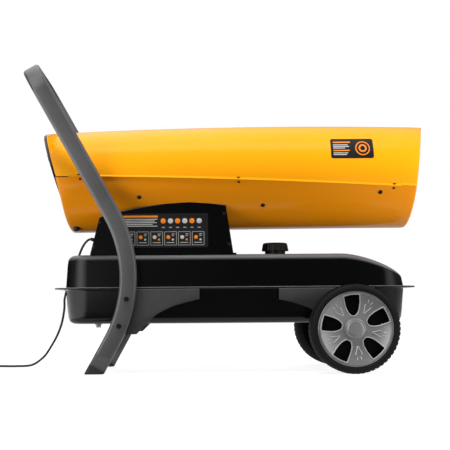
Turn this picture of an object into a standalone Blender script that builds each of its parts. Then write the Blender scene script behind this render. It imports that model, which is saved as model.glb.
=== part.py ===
"""Diesel forced air heater: a barrel shell over a fuel tank, on two wheels and a bent tube leg frame.

Metres, Z up. +X is the hot air end, and the handle is at the -X end. The origin is on the floor under the
middle of the heater.
"""

import math

import bmesh
import bpy
from mathutils import Matrix, Vector

# Gaps
TOUCH = 0.0003
RUNNING = 0.0006
OVERRUN = 0.012
MERGE = 0.00001

# Wheels and axle
WHEEL_DIAMETER = 0.254
WHEEL_TRACK = 0.520
WHEEL_SIDE_GAP = 0.0167
TYRE_HEIGHT = 0.0207
TYRE_SHOULDER_DROP = 0.0035
TYRE_SHOULDER_INSET = 0.0065
TYRE_CROWN_INSET = 0.015
TYRE_BEAD_INSET = 0.003
RIM_SEAT_DEPTH = 0.0055
RIM_FLANGE = 0.0045
RIM_INSET = 0.0035
RIM_WALL = 0.003
WINDOW_DEPTH = 0.008
WINDOW_WEB = 0.004
SPOKE_INSET = 0.015
HUB_DIAMETER = 0.056
HUB_INSET = 0.009
BOSS_DIAMETER = 0.040
WINDOW_COUNT = 5
WINDOW_FIRST_ANGLE = math.radians(97)
WINDOW_RIM_MARGIN = 0.002
WINDOW_OUTER_WIDTH = 0.046
WINDOW_WAIST_SHARE = 0.391
WINDOW_WAIST_WIDTH = 0.036
WINDOW_HUB_MARGIN = 0.009
WINDOW_INNER_WIDTH = 0.015
WINDOW_CORNER = 0.010
AXLE_X = 0.35445
AXLE_DIAMETER = 0.016
AXLE_UNDER_TANK = 0.0088
AXLE_END_INSET = 0.0035
CLIP_DIAMETER = 0.026
CLIP_THICKNESS = 0.0015
CLIP_POCKET_DIAMETER = 0.030
CLIP_POCKET_DEPTH = 0.0105
HUB_CAP_DIAMETER = 0.050
HUB_CAP_HEIGHT = 0.0075
HUB_CAP_SHARES = ((0, 1), (0.5, 0.95), (0.8, 0.75), (1, 0.3), (1, 0), (0, 0))
ROUND_STEPS = 28
SMALL_STEPS = 16

# Fuel tank
TANK_CENTRE_X = 0.02135
TANK_LENGTH = 1.001
TANK_WIDTH = 0.294
TANK_SEAM_Z = 0.2472
TANK_TOP_Z = 0.3455
TANK_PLAN_RADIUS = 0.070
TANK_EDGE_RADIUS = 0.022
TANK_DRAFT = 0.006
FLANGE_END_LIP = 0.0334
FLANGE_SIDE_LIP = 0.018
PAN_SHEET = 0.0015
SLOPE_LENGTH = 0.190
SLOPE_DROP = 0.0665
SLOPE_POWER = 1.75
CORNER_STEPS = 4
SLOPE_STEPS = 5
EDGE_STEPS = 3

# Filler and cap
FILLER_X = 0.14845
NECK_DIAMETER = 0.062
NECK_WALL = 0.005
NECK_HEIGHT = 0.016
NECK_FLANGE = 0.009
NECK_FLANGE_THICKNESS = 0.003
CAP_DIAMETER = 0.0815
CAP_TOP_DIAMETER = 0.0735
CAP_HEIGHT = 0.0248
CAP_EDGE = 0.004
CAP_ROUNDING = 0.0012
CAP_RIB_COUNT = 22
CAP_RIB_DEPTH = 0.0012
CAP_LOW_ABOVE_TANK = 0.0139
GASKET_THICKNESS = 0.003

# Drain plug
DRAIN_X = -0.39185
DRAIN_WASHER_DIAMETER = 0.0215
DRAIN_WASHER_THICKNESS = 0.0038
DRAIN_HEX = 0.0135
DRAIN_HEX_HEIGHT = 0.009
DRAIN_SHANK_DIAMETER = 0.010
DRAIN_SHANK_LENGTH = 0.010

# Brackets under the flange
BRACKET_SHEET = 0.003
BRACKET_TAB = 0.017
FRONT_BRACKET_X = 0.14655
FRONT_BRACKET_LENGTH = 0.2758
AXLE_EYE_RADIUS = 0.026
AXLE_EYE_START = math.radians(200)
AXLE_EYE_END = math.radians(340)
REAR_BRACKET_X = -0.34115
REAR_BRACKET_LENGTH = 0.258
REAR_BRACKET_DEPTH = 0.1315

# Leg and handle frame
TUBE_BROAD = 0.050
TUBE_NARROW = 0.025
TUBE_CORNER = 0.009
TUBE_WALL = 0.0016
LEG_APEX_X = -0.28765
LEG_APEX_Z = 0.280
LEG_BEND_RADIUS = 0.380
LEG_TOP_LEAN = math.radians(29)
LEG_FOOT_LEAN = math.radians(29)
HANDLE_REACH = 0.4842
HANDLE_BEND_RADIUS = 0.075
SOLE_LOW_EDGE = 0.005
FOOT_STUB = 0.030
LEG_STEPS = 9
HANDLE_STEPS = 5

# Barrel shells
SHELL_REAR_X = -0.50215
SHELL_FRONT_X = 0.55235
SHELL_REAR_DIAMETER = 0.2978
SHELL_MIDDLE_DIAMETER = 0.3075
SHELL_FRONT_DIAMETER = 0.3006
SHELL_REAR_AXIS_Z = 0.568
SHELL_MIDDLE_AXIS_Z = 0.580
SHELL_FRONT_AXIS_Z = 0.579
SHELL_SHEET = 0.0012
SEAM_REAR_ANGLE = math.radians(5.4)
SEAM_FRONT_ANGLE = math.radians(-12.9)
SEAM_LAP_ANGLE = math.radians(3.4)
SHELL_REAR_LOW_X = -0.4660
SHELL_REAR_OVERHANG = 0.0820
SHELL_FRONT_LOW_X = 0.5398
SHELL_FRONT_OVERHANG = 0.0552
REAR_CUT_SHARES = (1, 0.945, 0.878, 0.792, 0.680, 0.552, 0.418, 0.306, 0.222, 0.160, 0.098, 0.038, 0)
FRONT_CUT_SHARES = (1, 0.862, 0.716, 0.586, 0.468, 0.367, 0.286, 0.222, 0.166, 0.111, 0.061, 0.022, 0)
SHELL_SEAT_GAP = 0.0008
SHELL_STATIONS = 6
ARC_STEPS = 24
PIPE_HOLE_DIAMETER = 0.014

# Combustion chamber and burner
CHAMBER_AXIS_Z = 0.578
CHAMBER_DIAMETER = 0.210
CHAMBER_SHEET = 0.0012
CHAMBER_BACK_X = -0.05615
CHAMBER_CONE_LENGTH = 0.050
CHAMBER_FRONT_X = 0.51585
CHAMBER_BEAD = 0.004
THROAT_DIAMETER = 0.110
SUPPORT_XS = (0.064, 0.444)
SUPPORT_SHEET = 0.002
SUPPORT_RING = 0.012
SUPPORT_ARM_WIDTH = 0.022
CHAMBER_STEPS = 24
DEFLECTOR_DIAMETER = 0.130
DEFLECTOR_HUB_DIAMETER = 0.065
DEFLECTOR_DISH = 0.014
DEFLECTOR_SHEET = 0.002
DEFLECTOR_ARM_WIDTH = 0.016
DEFLECTOR_INSET = 0.045
BURNER_DEPTH = 0.050
BURNER_SHEET = 0.002
BURNER_REAR_REACH = 0.022
NOZZLE_DIAMETER = 0.028
NOZZLE_BODY_LENGTH = 0.045
NOZZLE_TIP_DIAMETER = 0.012
NOZZLE_TIP_LENGTH = 0.014
NOZZLE_ORIFICE_DIAMETER = 0.0072
IGNITER_OFFSET = 0.034
IGNITER_DIAMETER = 0.010
IGNITER_LENGTH = 0.050
IGNITER_ROD_DIAMETER = 0.0024
IGNITER_ROD_LENGTH = 0.014
PHOTOCELL_DIAMETER = 0.018
PHOTOCELL_LENGTH = 0.022
PHOTOCELL_HEAD_LENGTH = 0.0132
PHOTOCELL_NECK_DIAMETER = 0.0108
PHOTOCELL_OFFSET = 0.034

# Motor, fan and air pump
MOTOR_X = -0.34115
MOTOR_LENGTH = 0.130
MOTOR_DIAMETER = 0.094
MOTOR_BELL_LENGTH = 0.026
MOTOR_BELL_DIAMETER = 0.078
SHAFT_DIAMETER = 0.010
FAN_DIAMETER = 0.270
FAN_HUB_DIAMETER = 0.060
FAN_HUB_LENGTH = 0.038
FAN_BLADES = 5
FAN_BLADE_SHEET = 0.0016
FAN_HUB_EDGE = 0.004
FAN_BURIED_RADIUS = 0.021
FAN_BURIED_CHORD = 0.0304
FAN_ROW_SHARES = (0.15, 0.55, 1)
FAN_CHORD_STEPS = 3
FAN_ROOT_CHORD = 0.052
FAN_TIP_CHORD = 0.086
FAN_ROOT_PITCH = math.radians(42)
FAN_TIP_PITCH = math.radians(22)
FAN_CAMBER = 0.006
FAN_MOTOR_GAP = 0.012
PUMP_DIAMETER = 0.086
PUMP_LENGTH = 0.034
PUMP_BORE_DIAMETER = 0.062
PUMP_BORE_OFFSET = 0.003
PUMP_BACK = 0.006
ROTOR_DIAMETER = 0.0545
ROTOR_SLOTS = 4
ROTOR_SLOT_WIDTH = 0.0032
ROTOR_SLOT_DEPTH = 0.012
PUMP_COVER_THICKNESS = 0.018
PUMP_COVER_EDGE = 0.005
MOUNT_X = -0.30815
MOUNT_LENGTH = 0.064
MOUNT_SPREAD = math.radians(34)
MOUNT_HOLLOW_SPREAD = math.radians(24.5)
MOUNT_SHEET = 0.008

# Intake guard
GUARD_LEAN = math.radians(17.5)
GUARD_X = -0.5019
GUARD_SEAT_GAP = 0.0014
GUARD_SHEET = 0.0024
GUARD_RIM = 0.007
GUARD_HUB_DIAMETER = 0.046
GUARD_WIRE = 0.0034
GUARD_RINGS = 4
GUARD_SPOKES = 6
GUARD_SLOT_STEPS = 3
GUARD_DISH = 0.006

# Base box and its covers
BOX_WIDTH = 0.260
BOX_REAR_X = -0.40265
BOX_FRONT_X = 0.01735
BOX_REAR_LEAN = 0.260
BOX_FRONT_LEAN = 0.154
BOX_REAR_HEIGHT = 0.1115
BOX_MIDDLE_HEIGHT = 0.1475
BOX_FRONT_HEIGHT = 0.1435
BOX_SHEET = 0.0012
COVER_STATIONS = 8
COVER_FOOT_REACH = 0.0087
COVER_FOOT_LAP = 0.006
COVER_FOOT_HEIGHT = 0.0035
COVER_FOOT_WIDTH = 0.018

# Controls on the left cover
KNOB_X = -0.08615
CONTROL_Z = 0.422
KNOB_DIAMETER = 0.040
KNOB_HEIGHT = 0.017
KNOB_TOP_DIAMETER = 0.0344
KNOB_SKIRT_HEIGHT = 0.006
KNOB_EDGE = 0.001
KNOB_STEM_DIAMETER = 0.008
KNOB_GRIP_WIDTH = 0.009
SWITCH_X = -0.16615
SWITCH_WIDTH = 0.021
SWITCH_REACH = 0.0135
SWITCH_RISE = 0.0045
SWITCH_ANGLE = math.radians(10)
SWITCH_EDGE_ANGLE = math.radians(25)
BEZEL_RIM = 0.003
BEZEL_THICKNESS = 0.002
BEZEL_DEPTH = 0.024
BEZEL_WALL = 0.0015
LAMP_X = -0.21815
LAMP_DIAMETER = 0.010
LAMP_COLLAR_DIAMETER = 0.014
LAMP_COLLAR_HEIGHT = 0.002
LAMP_HEIGHT = 0.006
LAMP_TOP_DIAMETER = 0.007
LAMP_SHOULDER_HEIGHT = 0.0054
LAMP_BODY_LENGTH = 0.016

# Electrical parts in the base box
TRANSFORMER_X = -0.24615
TRANSFORMER_SIDE_GAP = 0.039
TRANSFORMER_LENGTH = 0.080
TRANSFORMER_WIDTH = 0.062
TRANSFORMER_HEIGHT = 0.048
TRANSFORMER_EDGE = 0.004
BOARD_X = -0.05615
BOARD_SIDE_GAP = 0.050
BOARD_LENGTH = 0.090
BOARD_WIDTH = 0.070
BOARD_SHEET = 0.0016
BOARD_POST = 0.006
BOARD_POST_HEIGHT = 0.010
RELAY_LENGTH = 0.020
RELAY_HEIGHT = 0.016
RELAY_PITCH = 0.0265

# Fuel and air lines
LINE_DIAMETER = 0.006
LINE_DROP_X = -0.14415
LINE_SPREAD = 0.024
LINE_PORT_SPREAD = 0.007
FILTER_DIAMETER = 0.034
FILTER_HEIGHT = 0.034
FILTER_NECK_DIAMETER = 0.012
FILTER_NECK = 0.006
FILTER_LIFT = 0.012
PICKUP_GAP = 0.012
AIR_LINE_REAR_X = -0.36015
AIR_LINE_Z = 0.392
LINE_BEND = 0.008

# Power cord
CORD_DIAMETER = 0.007
CORD_Y = 0.070
CORD_Z = 0.3965
GLAND_DIAMETER = 0.020
GLAND_THREAD_DIAMETER = 0.014
GLAND_COLLAR = 0.006
GLAND_NUT = 0.006
RELIEF_LENGTH = 0.026
RELIEF_ROOT = 0.015
RELIEF_TIP = 0.0098
CORD_ROUTE = (
    (-0.4560, 0.083, 0.3760),
    (-0.4840, 0.104, 0.3370),
    (-0.5040, 0.124, 0.2880),
    (-0.5120, 0.135, 0.2400),
    (-0.5136, 0.140, 0.1909),
    (-0.5219, 0.141, 0.1434),
    (-0.5369, 0.143, 0.1039),
    (-0.5560, 0.146, 0.0700),
    (-0.5810, 0.150, 0.0350),
    (-0.6190, 0.155, 0.0090),
    (-0.6650, 0.160, 0.0046),
    (-0.7150, 0.166, 0.0046),
    (-0.7600, 0.172, 0.0046),
)
CORD_POINT_STEP = 0.019
COIL_TURNS = 3.25
COIL_MIDDLE_DIAMETER = 0.080
COIL_STRAND_GAP = 0.0009
COIL_POINTS = 24
TIE_SHEET = 0.0008
TIE_WIDTH = 0.011
PLUG_DIAMETER = 0.036
PLUG_LENGTH = 0.034
PLUG_SHOULDER = 0.012
PLUG_NECK_DIAMETER = 0.0198
PLUG_PIN_DIAMETER = 0.0048
PLUG_PIN_LENGTH = 0.019
PLUG_PIN_SPACING = 0.019
PLUG_SLEEVE = 0.028
PLUG_SLEEVE_TIP = 0.0098
PLUG_TAIL = 0.060

# Places that follow from the sizes
QUARTER = math.pi / 2
AXLE_Z = WHEEL_DIAMETER / 2
RIM_DIAMETER = WHEEL_DIAMETER - 2 * TYRE_HEIGHT
TANK_BOTTOM_Z = AXLE_Z + AXLE_DIAMETER / 2 + AXLE_UNDER_TANK
FLANGE_Y = TANK_WIDTH / 2 + FLANGE_SIDE_LIP
BRACKET_INNER_Y = FLANGE_Y + TOUCH
BRACKET_OUTER_Y = BRACKET_INNER_Y + BRACKET_SHEET
TYRE_WIDTH = WHEEL_TRACK / 2 - BRACKET_OUTER_Y - WHEEL_SIDE_GAP
TAB_TOP_Z = TANK_SEAM_Z - 2 * TOUCH - PAN_SHEET
LEG_Y = BRACKET_OUTER_Y + TOUCH + TUBE_NARROW / 2
BOX_FLOOR_Z = TANK_TOP_Z + TOUCH
NOZZLE_REAR_X = CHAMBER_BACK_X - BURNER_REAR_REACH - NOZZLE_BODY_LENGTH
MOTOR_FRONT_X = MOTOR_X + MOTOR_LENGTH
FAN_REAR_X = MOTOR_FRONT_X + FAN_MOTOR_GAP
PUMP_FRONT_X = MOTOR_X - TOUCH
PUMP_REAR_X = PUMP_FRONT_X - PUMP_LENGTH
COVER_Y = BOX_WIDTH / 2
TRANSFORMER_Y = -COVER_Y + TRANSFORMER_SIDE_GAP + TRANSFORMER_WIDTH / 2
BOARD_Y = -COVER_Y + BOARD_SIDE_GAP + BOARD_WIDTH / 2

# How a local Z axis or a flat outline is turned
ALONG_X = (0, QUARTER, 0)
ALONG_LEFT = (-QUARTER, 0, 0)
ALONG_RIGHT = (QUARTER, 0, 0)
FACING_Y = (QUARTER, 0, 0)
FACING_X = (QUARTER, 0, QUARTER)

for old in list(bpy.data.objects):
    bpy.data.objects.remove(old, do_unlink=True)


def new_collection(name):
    collection = bpy.data.collections.new(name)
    bpy.context.scene.collection.children.link(collection)
    return collection


PARTS = new_collection("diesel_forced_air_heater")
CUTTERS = new_collection("cutters")


def coat(name, colour, roughness, metallic):
    """A plain Principled material."""
    material = bpy.data.materials.new(name)
    material.use_nodes = True
    shader = material.node_tree.nodes["Principled BSDF"]
    shader.inputs["Base Color"].default_value = (*colour, 1)
    shader.inputs["Roughness"].default_value = roughness
    shader.inputs["Metallic"].default_value = metallic
    material.diffuse_color = (*colour, 1)
    return material


YELLOW = coat("yellow_enamel", (0.90, 0.44, 0.02), 0.22, 0)
BLACK = coat("black_enamel", (0.012, 0.012, 0.013), 0.28, 0)
GREY = coat("grey_frame_paint", (0.085, 0.085, 0.09), 0.42, 0.3)
DARK_PLASTIC = coat("black_plastic", (0.015, 0.015, 0.016), 0.5, 0)
RUBBER = coat("black_rubber", (0.02, 0.02, 0.02), 0.8, 0)
RIM_SILVER = coat("silver_rim_plastic", (0.30, 0.30, 0.31), 0.4, 0.3)
ZINC = coat("zinc_steel", (0.50, 0.51, 0.53), 0.3, 1)
STAINLESS = coat("stainless_steel", (0.46, 0.44, 0.42), 0.35, 1)
ALUMINIUM = coat("cast_aluminium", (0.55, 0.56, 0.57), 0.45, 1)
BRASS = coat("brass", (0.70, 0.48, 0.20), 0.3, 1)
CERAMIC = coat("white_ceramic", (0.75, 0.73, 0.68), 0.4, 0)
GREEN_BOARD = coat("green_board", (0.03, 0.16, 0.06), 0.5, 0)
AMBER = coat("amber_lens", (0.75, 0.25, 0.02), 0.2, 0)


def mesh_object(name, mesh, material, rotation=(0, 0, 0), location=(0, 0, 0), carrier=None):
    if material:
        mesh.materials.append(material)
    item = bpy.data.objects.new(name, mesh)
    item.rotation_euler = rotation
    item.location = location
    item.parent = carrier
    PARTS.objects.link(item)
    return item


def settle(item, sharp_angle=math.radians(32)):
    """Replace a curve or a profile by its welded, smooth shaded mesh."""
    bpy.context.view_layer.update()
    graph = bpy.context.evaluated_depsgraph_get()
    mesh = bpy.data.meshes.new_from_object(item.evaluated_get(graph))
    name = item.name
    place = item.matrix_basis.copy()
    carrier = item.parent
    bpy.data.objects.remove(item, do_unlink=True)
    work = bmesh.new()
    work.from_mesh(mesh)
    bmesh.ops.remove_doubles(work, verts=work.verts, dist=MERGE)
    work.to_mesh(mesh)
    work.free()
    mesh.shade_smooth()
    mesh.set_sharp_from_angle(angle=sharp_angle)
    solid = bpy.data.objects.new(name, mesh)
    solid.matrix_basis = place
    solid.parent = carrier
    PARTS.objects.link(solid)
    return solid


def turned(name, profile, material, rotation=(0, 0, 0), location=(0, 0, 0), closed=False, steps=ROUND_STEPS,
           carrier=None):
    """A profile of (radius, height) pairs, run down its outer side and turned round the local Z axis."""
    count = len(profile)
    edges = [(i, i + 1) for i in range(count - 1)]
    if closed:
        edges.append((count - 1, 0))
    mesh = bpy.data.meshes.new(name)
    mesh.from_pydata([(radius, 0, height) for radius, height in profile], edges, [])
    item = mesh_object(name, mesh, material, rotation, location, carrier)
    screw = item.modifiers.new("turn", "SCREW")
    screw.axis = "Z"
    screw.steps = steps
    screw.render_steps = steps
    screw.use_merge_vertices = True
    screw.merge_threshold = MERGE
    return settle(item)


def rod(name, diameter, low, high, material, rotation=(0, 0, 0), location=(0, 0, 0), steps=ROUND_STEPS,
        carrier=None):
    radius = diameter / 2
    profile = [(0, high), (radius, high), (radius, low), (0, low)]
    return turned(name, profile, material, rotation, location, steps=steps, carrier=carrier)


def washer(name, diameter, bore, low, high, material, rotation=(0, 0, 0), location=(0, 0, 0),
           steps=ROUND_STEPS, carrier=None):
    outer = diameter / 2
    inner = bore / 2
    profile = [(outer, high), (outer, low), (inner, low), (inner, high)]
    return turned(name, profile, material, rotation, location, True, steps, carrier)


def add_spline(curve, points, cyclic):
    spline = curve.splines.new("POLY")
    spline.points.add(len(points) - 1)
    for spot, point in zip(spline.points, points):
        place = tuple(point) + (0,) * (3 - len(point))
        spot.co = (*place, 1)
    spline.use_cyclic_u = cyclic
    return spline


def plate(name, outlines, thickness, material, rotation=(0, 0, 0), location=(0, 0, 0), carrier=None):
    """Flat outlines, the first one outside and the rest holes or islands, filled to a thickness."""
    curve = bpy.data.curves.new(name, "CURVE")
    curve.dimensions = "2D"
    curve.fill_mode = "BOTH"
    curve.extrude = thickness / 2
    for outline in outlines:
        add_spline(curve, outline, True)
    return settle(mesh_object(name, curve, material, rotation, location, carrier))


def pipe(name, points, diameter, material, resolution=2):
    curve = bpy.data.curves.new(name, "CURVE")
    curve.dimensions = "3D"
    curve.bevel_depth = diameter / 2
    curve.bevel_resolution = resolution
    curve.use_fill_caps = True
    add_spline(curve, points, False)
    return settle(mesh_object(name, curve, material), math.radians(70))


def block(name, low, high, material, edge=0, rotation=(0, 0, 0), location=(0, 0, 0), carrier=None):
    """A box between two corners, with its edges rounded."""
    low = Vector(low)
    high = Vector(high)
    middle = (low + high) / 2
    size = high - low
    work = bmesh.new()
    bmesh.ops.create_cube(work, size=1, matrix=Matrix.Translation(middle) @ Matrix.Diagonal((*size, 1)))
    mesh = bpy.data.meshes.new(name)
    work.to_mesh(mesh)
    work.free()
    item = mesh_object(name, mesh, material, rotation, location, carrier)
    if edge:
        bevel = item.modifiers.new("edge", "BEVEL")
        bevel.width = edge
        bevel.segments = 2
        bevel.limit_method = "ANGLE"
    return item


def loft(name, rings, material, capped=True, carrier=None):
    """Rings of equal count bridged in turn, for forms that change their section along the way."""
    work = bmesh.new()
    rows = [[work.verts.new(point) for point in ring] for ring in rings]
    count = len(rings[0])
    for near, far in zip(rows, rows[1:]):
        for i in range(count):
            j = (i + 1) % count
            work.faces.new((near[i], near[j], far[j], far[i]))
    if capped:
        work.faces.new(rows[0])
        work.faces.new(rows[-1])
    bmesh.ops.recalc_face_normals(work, faces=work.faces)
    mesh = bpy.data.meshes.new(name)
    work.to_mesh(mesh)
    work.free()
    mesh.shade_smooth()
    mesh.set_sharp_from_angle(angle=math.radians(32))
    return mesh_object(name, mesh, material, carrier=carrier)


def sheet(name, rows, thickness, material, outward):
    """An open grid of points, thickened to the inside of its outer face.

    outward is a direction that the first face of the outer side looks to.
    """
    work = bmesh.new()
    grid = [[work.verts.new(point) for point in row] for row in rows]
    for near, far in zip(grid, grid[1:]):
        for i in range(len(near) - 1):
            work.faces.new((near[i], near[i + 1], far[i + 1], far[i]))
    work.normal_update()
    work.faces.ensure_lookup_table()
    if work.faces[0].normal.dot(Vector(outward)) < 0:
        bmesh.ops.reverse_faces(work, faces=work.faces)
    mesh = bpy.data.meshes.new(name)
    work.to_mesh(mesh)
    work.free()
    mesh.shade_smooth()
    mesh.set_sharp_from_angle(angle=math.radians(32))
    item = mesh_object(name, mesh, material)
    thicken(item, thickness)
    return item


def thicken(item, thickness, offset=-1):
    solidify = item.modifiers.new("sheet", "SOLIDIFY")
    solidify.thickness = thickness
    solidify.offset = offset
    solidify.use_even_offset = True
    solidify.use_quality_normals = True


def operand(item):
    """Make an object a guide for Booleans only."""
    PARTS.objects.unlink(item)
    CUTTERS.objects.link(item)
    item.hide_render = True
    item.display_type = "WIRE"
    return item


def combine(item, other, operation):
    boolean = item.modifiers.new(operation.lower(), "BOOLEAN")
    boolean.operation = operation
    boolean.solver = "EXACT"
    boolean.object = operand(other)


def cut(item, cutter):
    combine(item, cutter, "DIFFERENCE")


def join(item, other):
    combine(item, other, "UNION")


def empty(name, location, rotation=(0, 0, 0)):
    item = bpy.data.objects.new(name, None)
    item.empty_display_size = 0.05
    item.location = location
    item.rotation_euler = rotation
    PARTS.objects.link(item)
    return item


def arc(centre, radius, start, end, steps):
    """Points of a flat arc, with both ends."""
    cx, cy = centre
    points = []
    for i in range(steps + 1):
        angle = start + (end - start) * i / steps
        points.append((cx + radius * math.cos(angle), cy + radius * math.sin(angle)))
    return points


def circle(radius, steps=ROUND_STEPS, centre=(0, 0), first=0):
    return arc(centre, radius, first, first + 2 * math.pi * (steps - 1) / steps, steps - 1)


def rounded(corners, radius, steps=4):
    """A closed outline with each corner rounded by an arc of up to the given radius."""
    points = []
    count = len(corners)
    for i in range(count):
        before = Vector(corners[i - 1])
        corner = Vector(corners[i])
        after = Vector(corners[(i + 1) % count])
        back = (before - corner).normalized()
        forth = (after - corner).normalized()
        half = back.angle(forth) / 2
        reach = min(radius / math.tan(half), (before - corner).length / 2, (after - corner).length / 2)
        bend = reach * math.tan(half)
        start = corner + back * reach
        middle = corner + (back + forth).normalized() * bend / math.sin(half)
        spoke = start - middle
        turn = spoke.angle_signed(corner + forth * reach - middle)
        for k in range(steps + 1):
            swing = Matrix.Rotation(-turn * k / steps, 2)
            points.append(tuple(middle + swing @ spoke))
    return points


def rectangle(length, width, radius, steps=4, centre=(0, 0)):
    x, y = centre
    corners = [(x - length / 2, y - width / 2), (x + length / 2, y - width / 2),
               (x + length / 2, y + width / 2), (x - length / 2, y + width / 2)]
    return rounded(corners, radius, steps)


def bent_route(corners, radius, steps=5):
    """A route through 3-D corners with each inner corner bent to a radius."""
    points = [Vector(corners[0])]
    for before, corner, after in zip(corners, corners[1:], corners[2:]):
        before, corner, after = Vector(before), Vector(corner), Vector(after)
        back = (before - corner).normalized()
        forth = (after - corner).normalized()
        half = back.angle(forth) / 2
        reach = radius / math.tan(half)
        middle = corner + (back + forth).normalized() * radius / math.sin(half)
        start = corner + back * reach - middle
        end = corner + forth * reach - middle
        axis = start.cross(end)
        swing = start.angle(end)
        points += [middle + Matrix.Rotation(swing * k / steps, 3, axis) @ start for k in range(steps + 1)]
    points.append(Vector(corners[-1]))
    return points


def smooth_route(corners, start, end, step):
    """Points at even steps along one smooth curve through the given points, with both end directions set."""
    spots = [Vector(corner) for corner in corners]
    before = spots[1] - start * 2 * (spots[1] - spots[0]).length
    after = spots[-2] + end * 2 * (spots[-1] - spots[-2]).length
    spots = [before] + spots + [after]
    fine = []
    share_count = 24
    for p0, p1, p2, p3 in zip(spots, spots[1:], spots[2:], spots[3:]):
        for k in range(share_count):
            t = k / share_count
            fine.append(0.5 * (2 * p1 + (p2 - p0) * t + (2 * p0 - 5 * p1 + 4 * p2 - p3) * t ** 2
                               + (3 * p1 - p0 - 3 * p2 + p3) * t ** 3))
    fine.append(spots[-2])
    length = sum((b - a).length for a, b in zip(fine, fine[1:]))
    count = max(2, round(length / step))
    points = [fine[0]]
    travelled = 0
    for a, b in zip(fine, fine[1:]):
        travelled += (b - a).length
        if travelled >= length * len(points) / count and len(points) < count:
            points.append(b)
    points.append(fine[-1])
    return points, length


def shell_share(x):
    """How far along the barrel a place is, from its rear end to its front end."""
    return (x - SHELL_REAR_X) / (SHELL_FRONT_X - SHELL_REAR_X)


def along_shell(rear, middle, front, share):
    """A smooth curve through the values at the barrel's rear, middle and front."""
    return (rear * (1 - share) * (1 - 2 * share) + middle * 4 * share * (1 - share)
            + front * share * (2 * share - 1))


def shell_radius(share):
    return along_shell(SHELL_REAR_DIAMETER, SHELL_MIDDLE_DIAMETER, SHELL_FRONT_DIAMETER, share) / 2


def shell_axis_z(share):
    return along_shell(SHELL_REAR_AXIS_Z, SHELL_MIDDLE_AXIS_Z, SHELL_FRONT_AXIS_Z, share)


def seam_angle(share):
    return SEAM_REAR_ANGLE + (SEAM_FRONT_ANGLE - SEAM_REAR_ANGLE) * share


def cut_share(shares, angle):
    """A smooth curve through the shares of an end cut, which run from the barrel's top to its bottom."""
    last = len(shares) - 1
    place = math.acos(max(-1, min(1, math.sin(angle)))) / math.pi * last
    start = min(int(place), last - 1)
    t = place - start
    p0, p1, p2 = shares[abs(start - 1)], shares[start], shares[start + 1]
    p3 = shares[last - abs(last - start - 2)]
    return 0.5 * (2 * p1 + (p2 - p0) * t + (2 * p0 - 5 * p1 + 4 * p2 - p3) * t ** 2
                  + (3 * p1 - p0 - 3 * p2 + p3) * t ** 3)


def shell_row(share, angles, extra):
    """One row of points round the barrel, on its slanting station."""
    radius = shell_radius(share) + extra
    row = []
    for angle in angles:
        rear = SHELL_REAR_LOW_X - SHELL_REAR_OVERHANG * cut_share(REAR_CUT_SHARES, angle)
        front = SHELL_FRONT_LOW_X + SHELL_FRONT_OVERHANG * cut_share(FRONT_CUT_SHARES, angle)
        row.append((rear + (front - rear) * share, radius * math.cos(angle),
                    shell_axis_z(share) + radius * math.sin(angle)))
    return row


def upper_angles(share):
    low = seam_angle(share) - SEAM_LAP_ANGLE
    seam = seam_angle(share)
    sweep = [seam + (math.pi - 2 * seam) * i / ARC_STEPS for i in range(ARC_STEPS + 1)]
    return [low] + sweep + [math.pi - low]


def lower_angles(share):
    low = seam_angle(share) - SEAM_LAP_ANGLE
    seam = seam_angle(share)
    sweep = [math.pi - low + (math.pi + 2 * low) * i / ARC_STEPS for i in range(ARC_STEPS + 1)]
    return [math.pi - seam] + sweep + [2 * math.pi + seam]


def shell_shares():
    return [i / SHELL_STATIONS for i in range(SHELL_STATIONS + 1)]


def reach_to_shell(x, angle, inner_extra):
    """Distance from the chamber's axis to the barrel's inner face, in a direction across it."""
    share = shell_share(x)
    radius = shell_radius(share) + inner_extra
    lift = (shell_axis_z(share) - CHAMBER_AXIS_Z) * math.sin(angle)
    drop = (shell_axis_z(share) - CHAMBER_AXIS_Z) * math.cos(angle)
    return lift + math.sqrt(radius ** 2 - drop ** 2)


def window_outlines():
    """The wheel's blind windows, with a wide outer edge and a round inner end."""
    outer = RIM_DIAMETER / 2 - RIM_SEAT_DEPTH - RIM_WALL - WINDOW_RIM_MARGIN
    inner = HUB_DIAMETER / 2 + WINDOW_HUB_MARGIN
    waist = inner + (outer - inner) * WINDOW_WAIST_SHARE
    corners = [(inner, -WINDOW_INNER_WIDTH / 2), (waist, -WINDOW_WAIST_WIDTH / 2),
               (outer, -WINDOW_OUTER_WIDTH / 2), (outer, WINDOW_OUTER_WIDTH / 2),
               (waist, WINDOW_WAIST_WIDTH / 2), (inner, WINDOW_INNER_WIDTH / 2)]
    outline = rounded(corners, WINDOW_CORNER, 2)
    outlines = []
    for i in range(WINDOW_COUNT):
        angle = WINDOW_FIRST_ANGLE + 2 * math.pi * i / WINDOW_COUNT
        turn = Matrix.Rotation(angle, 2)
        outlines.append([tuple(turn @ Vector(point)) for point in outline])
    return outlines


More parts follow.
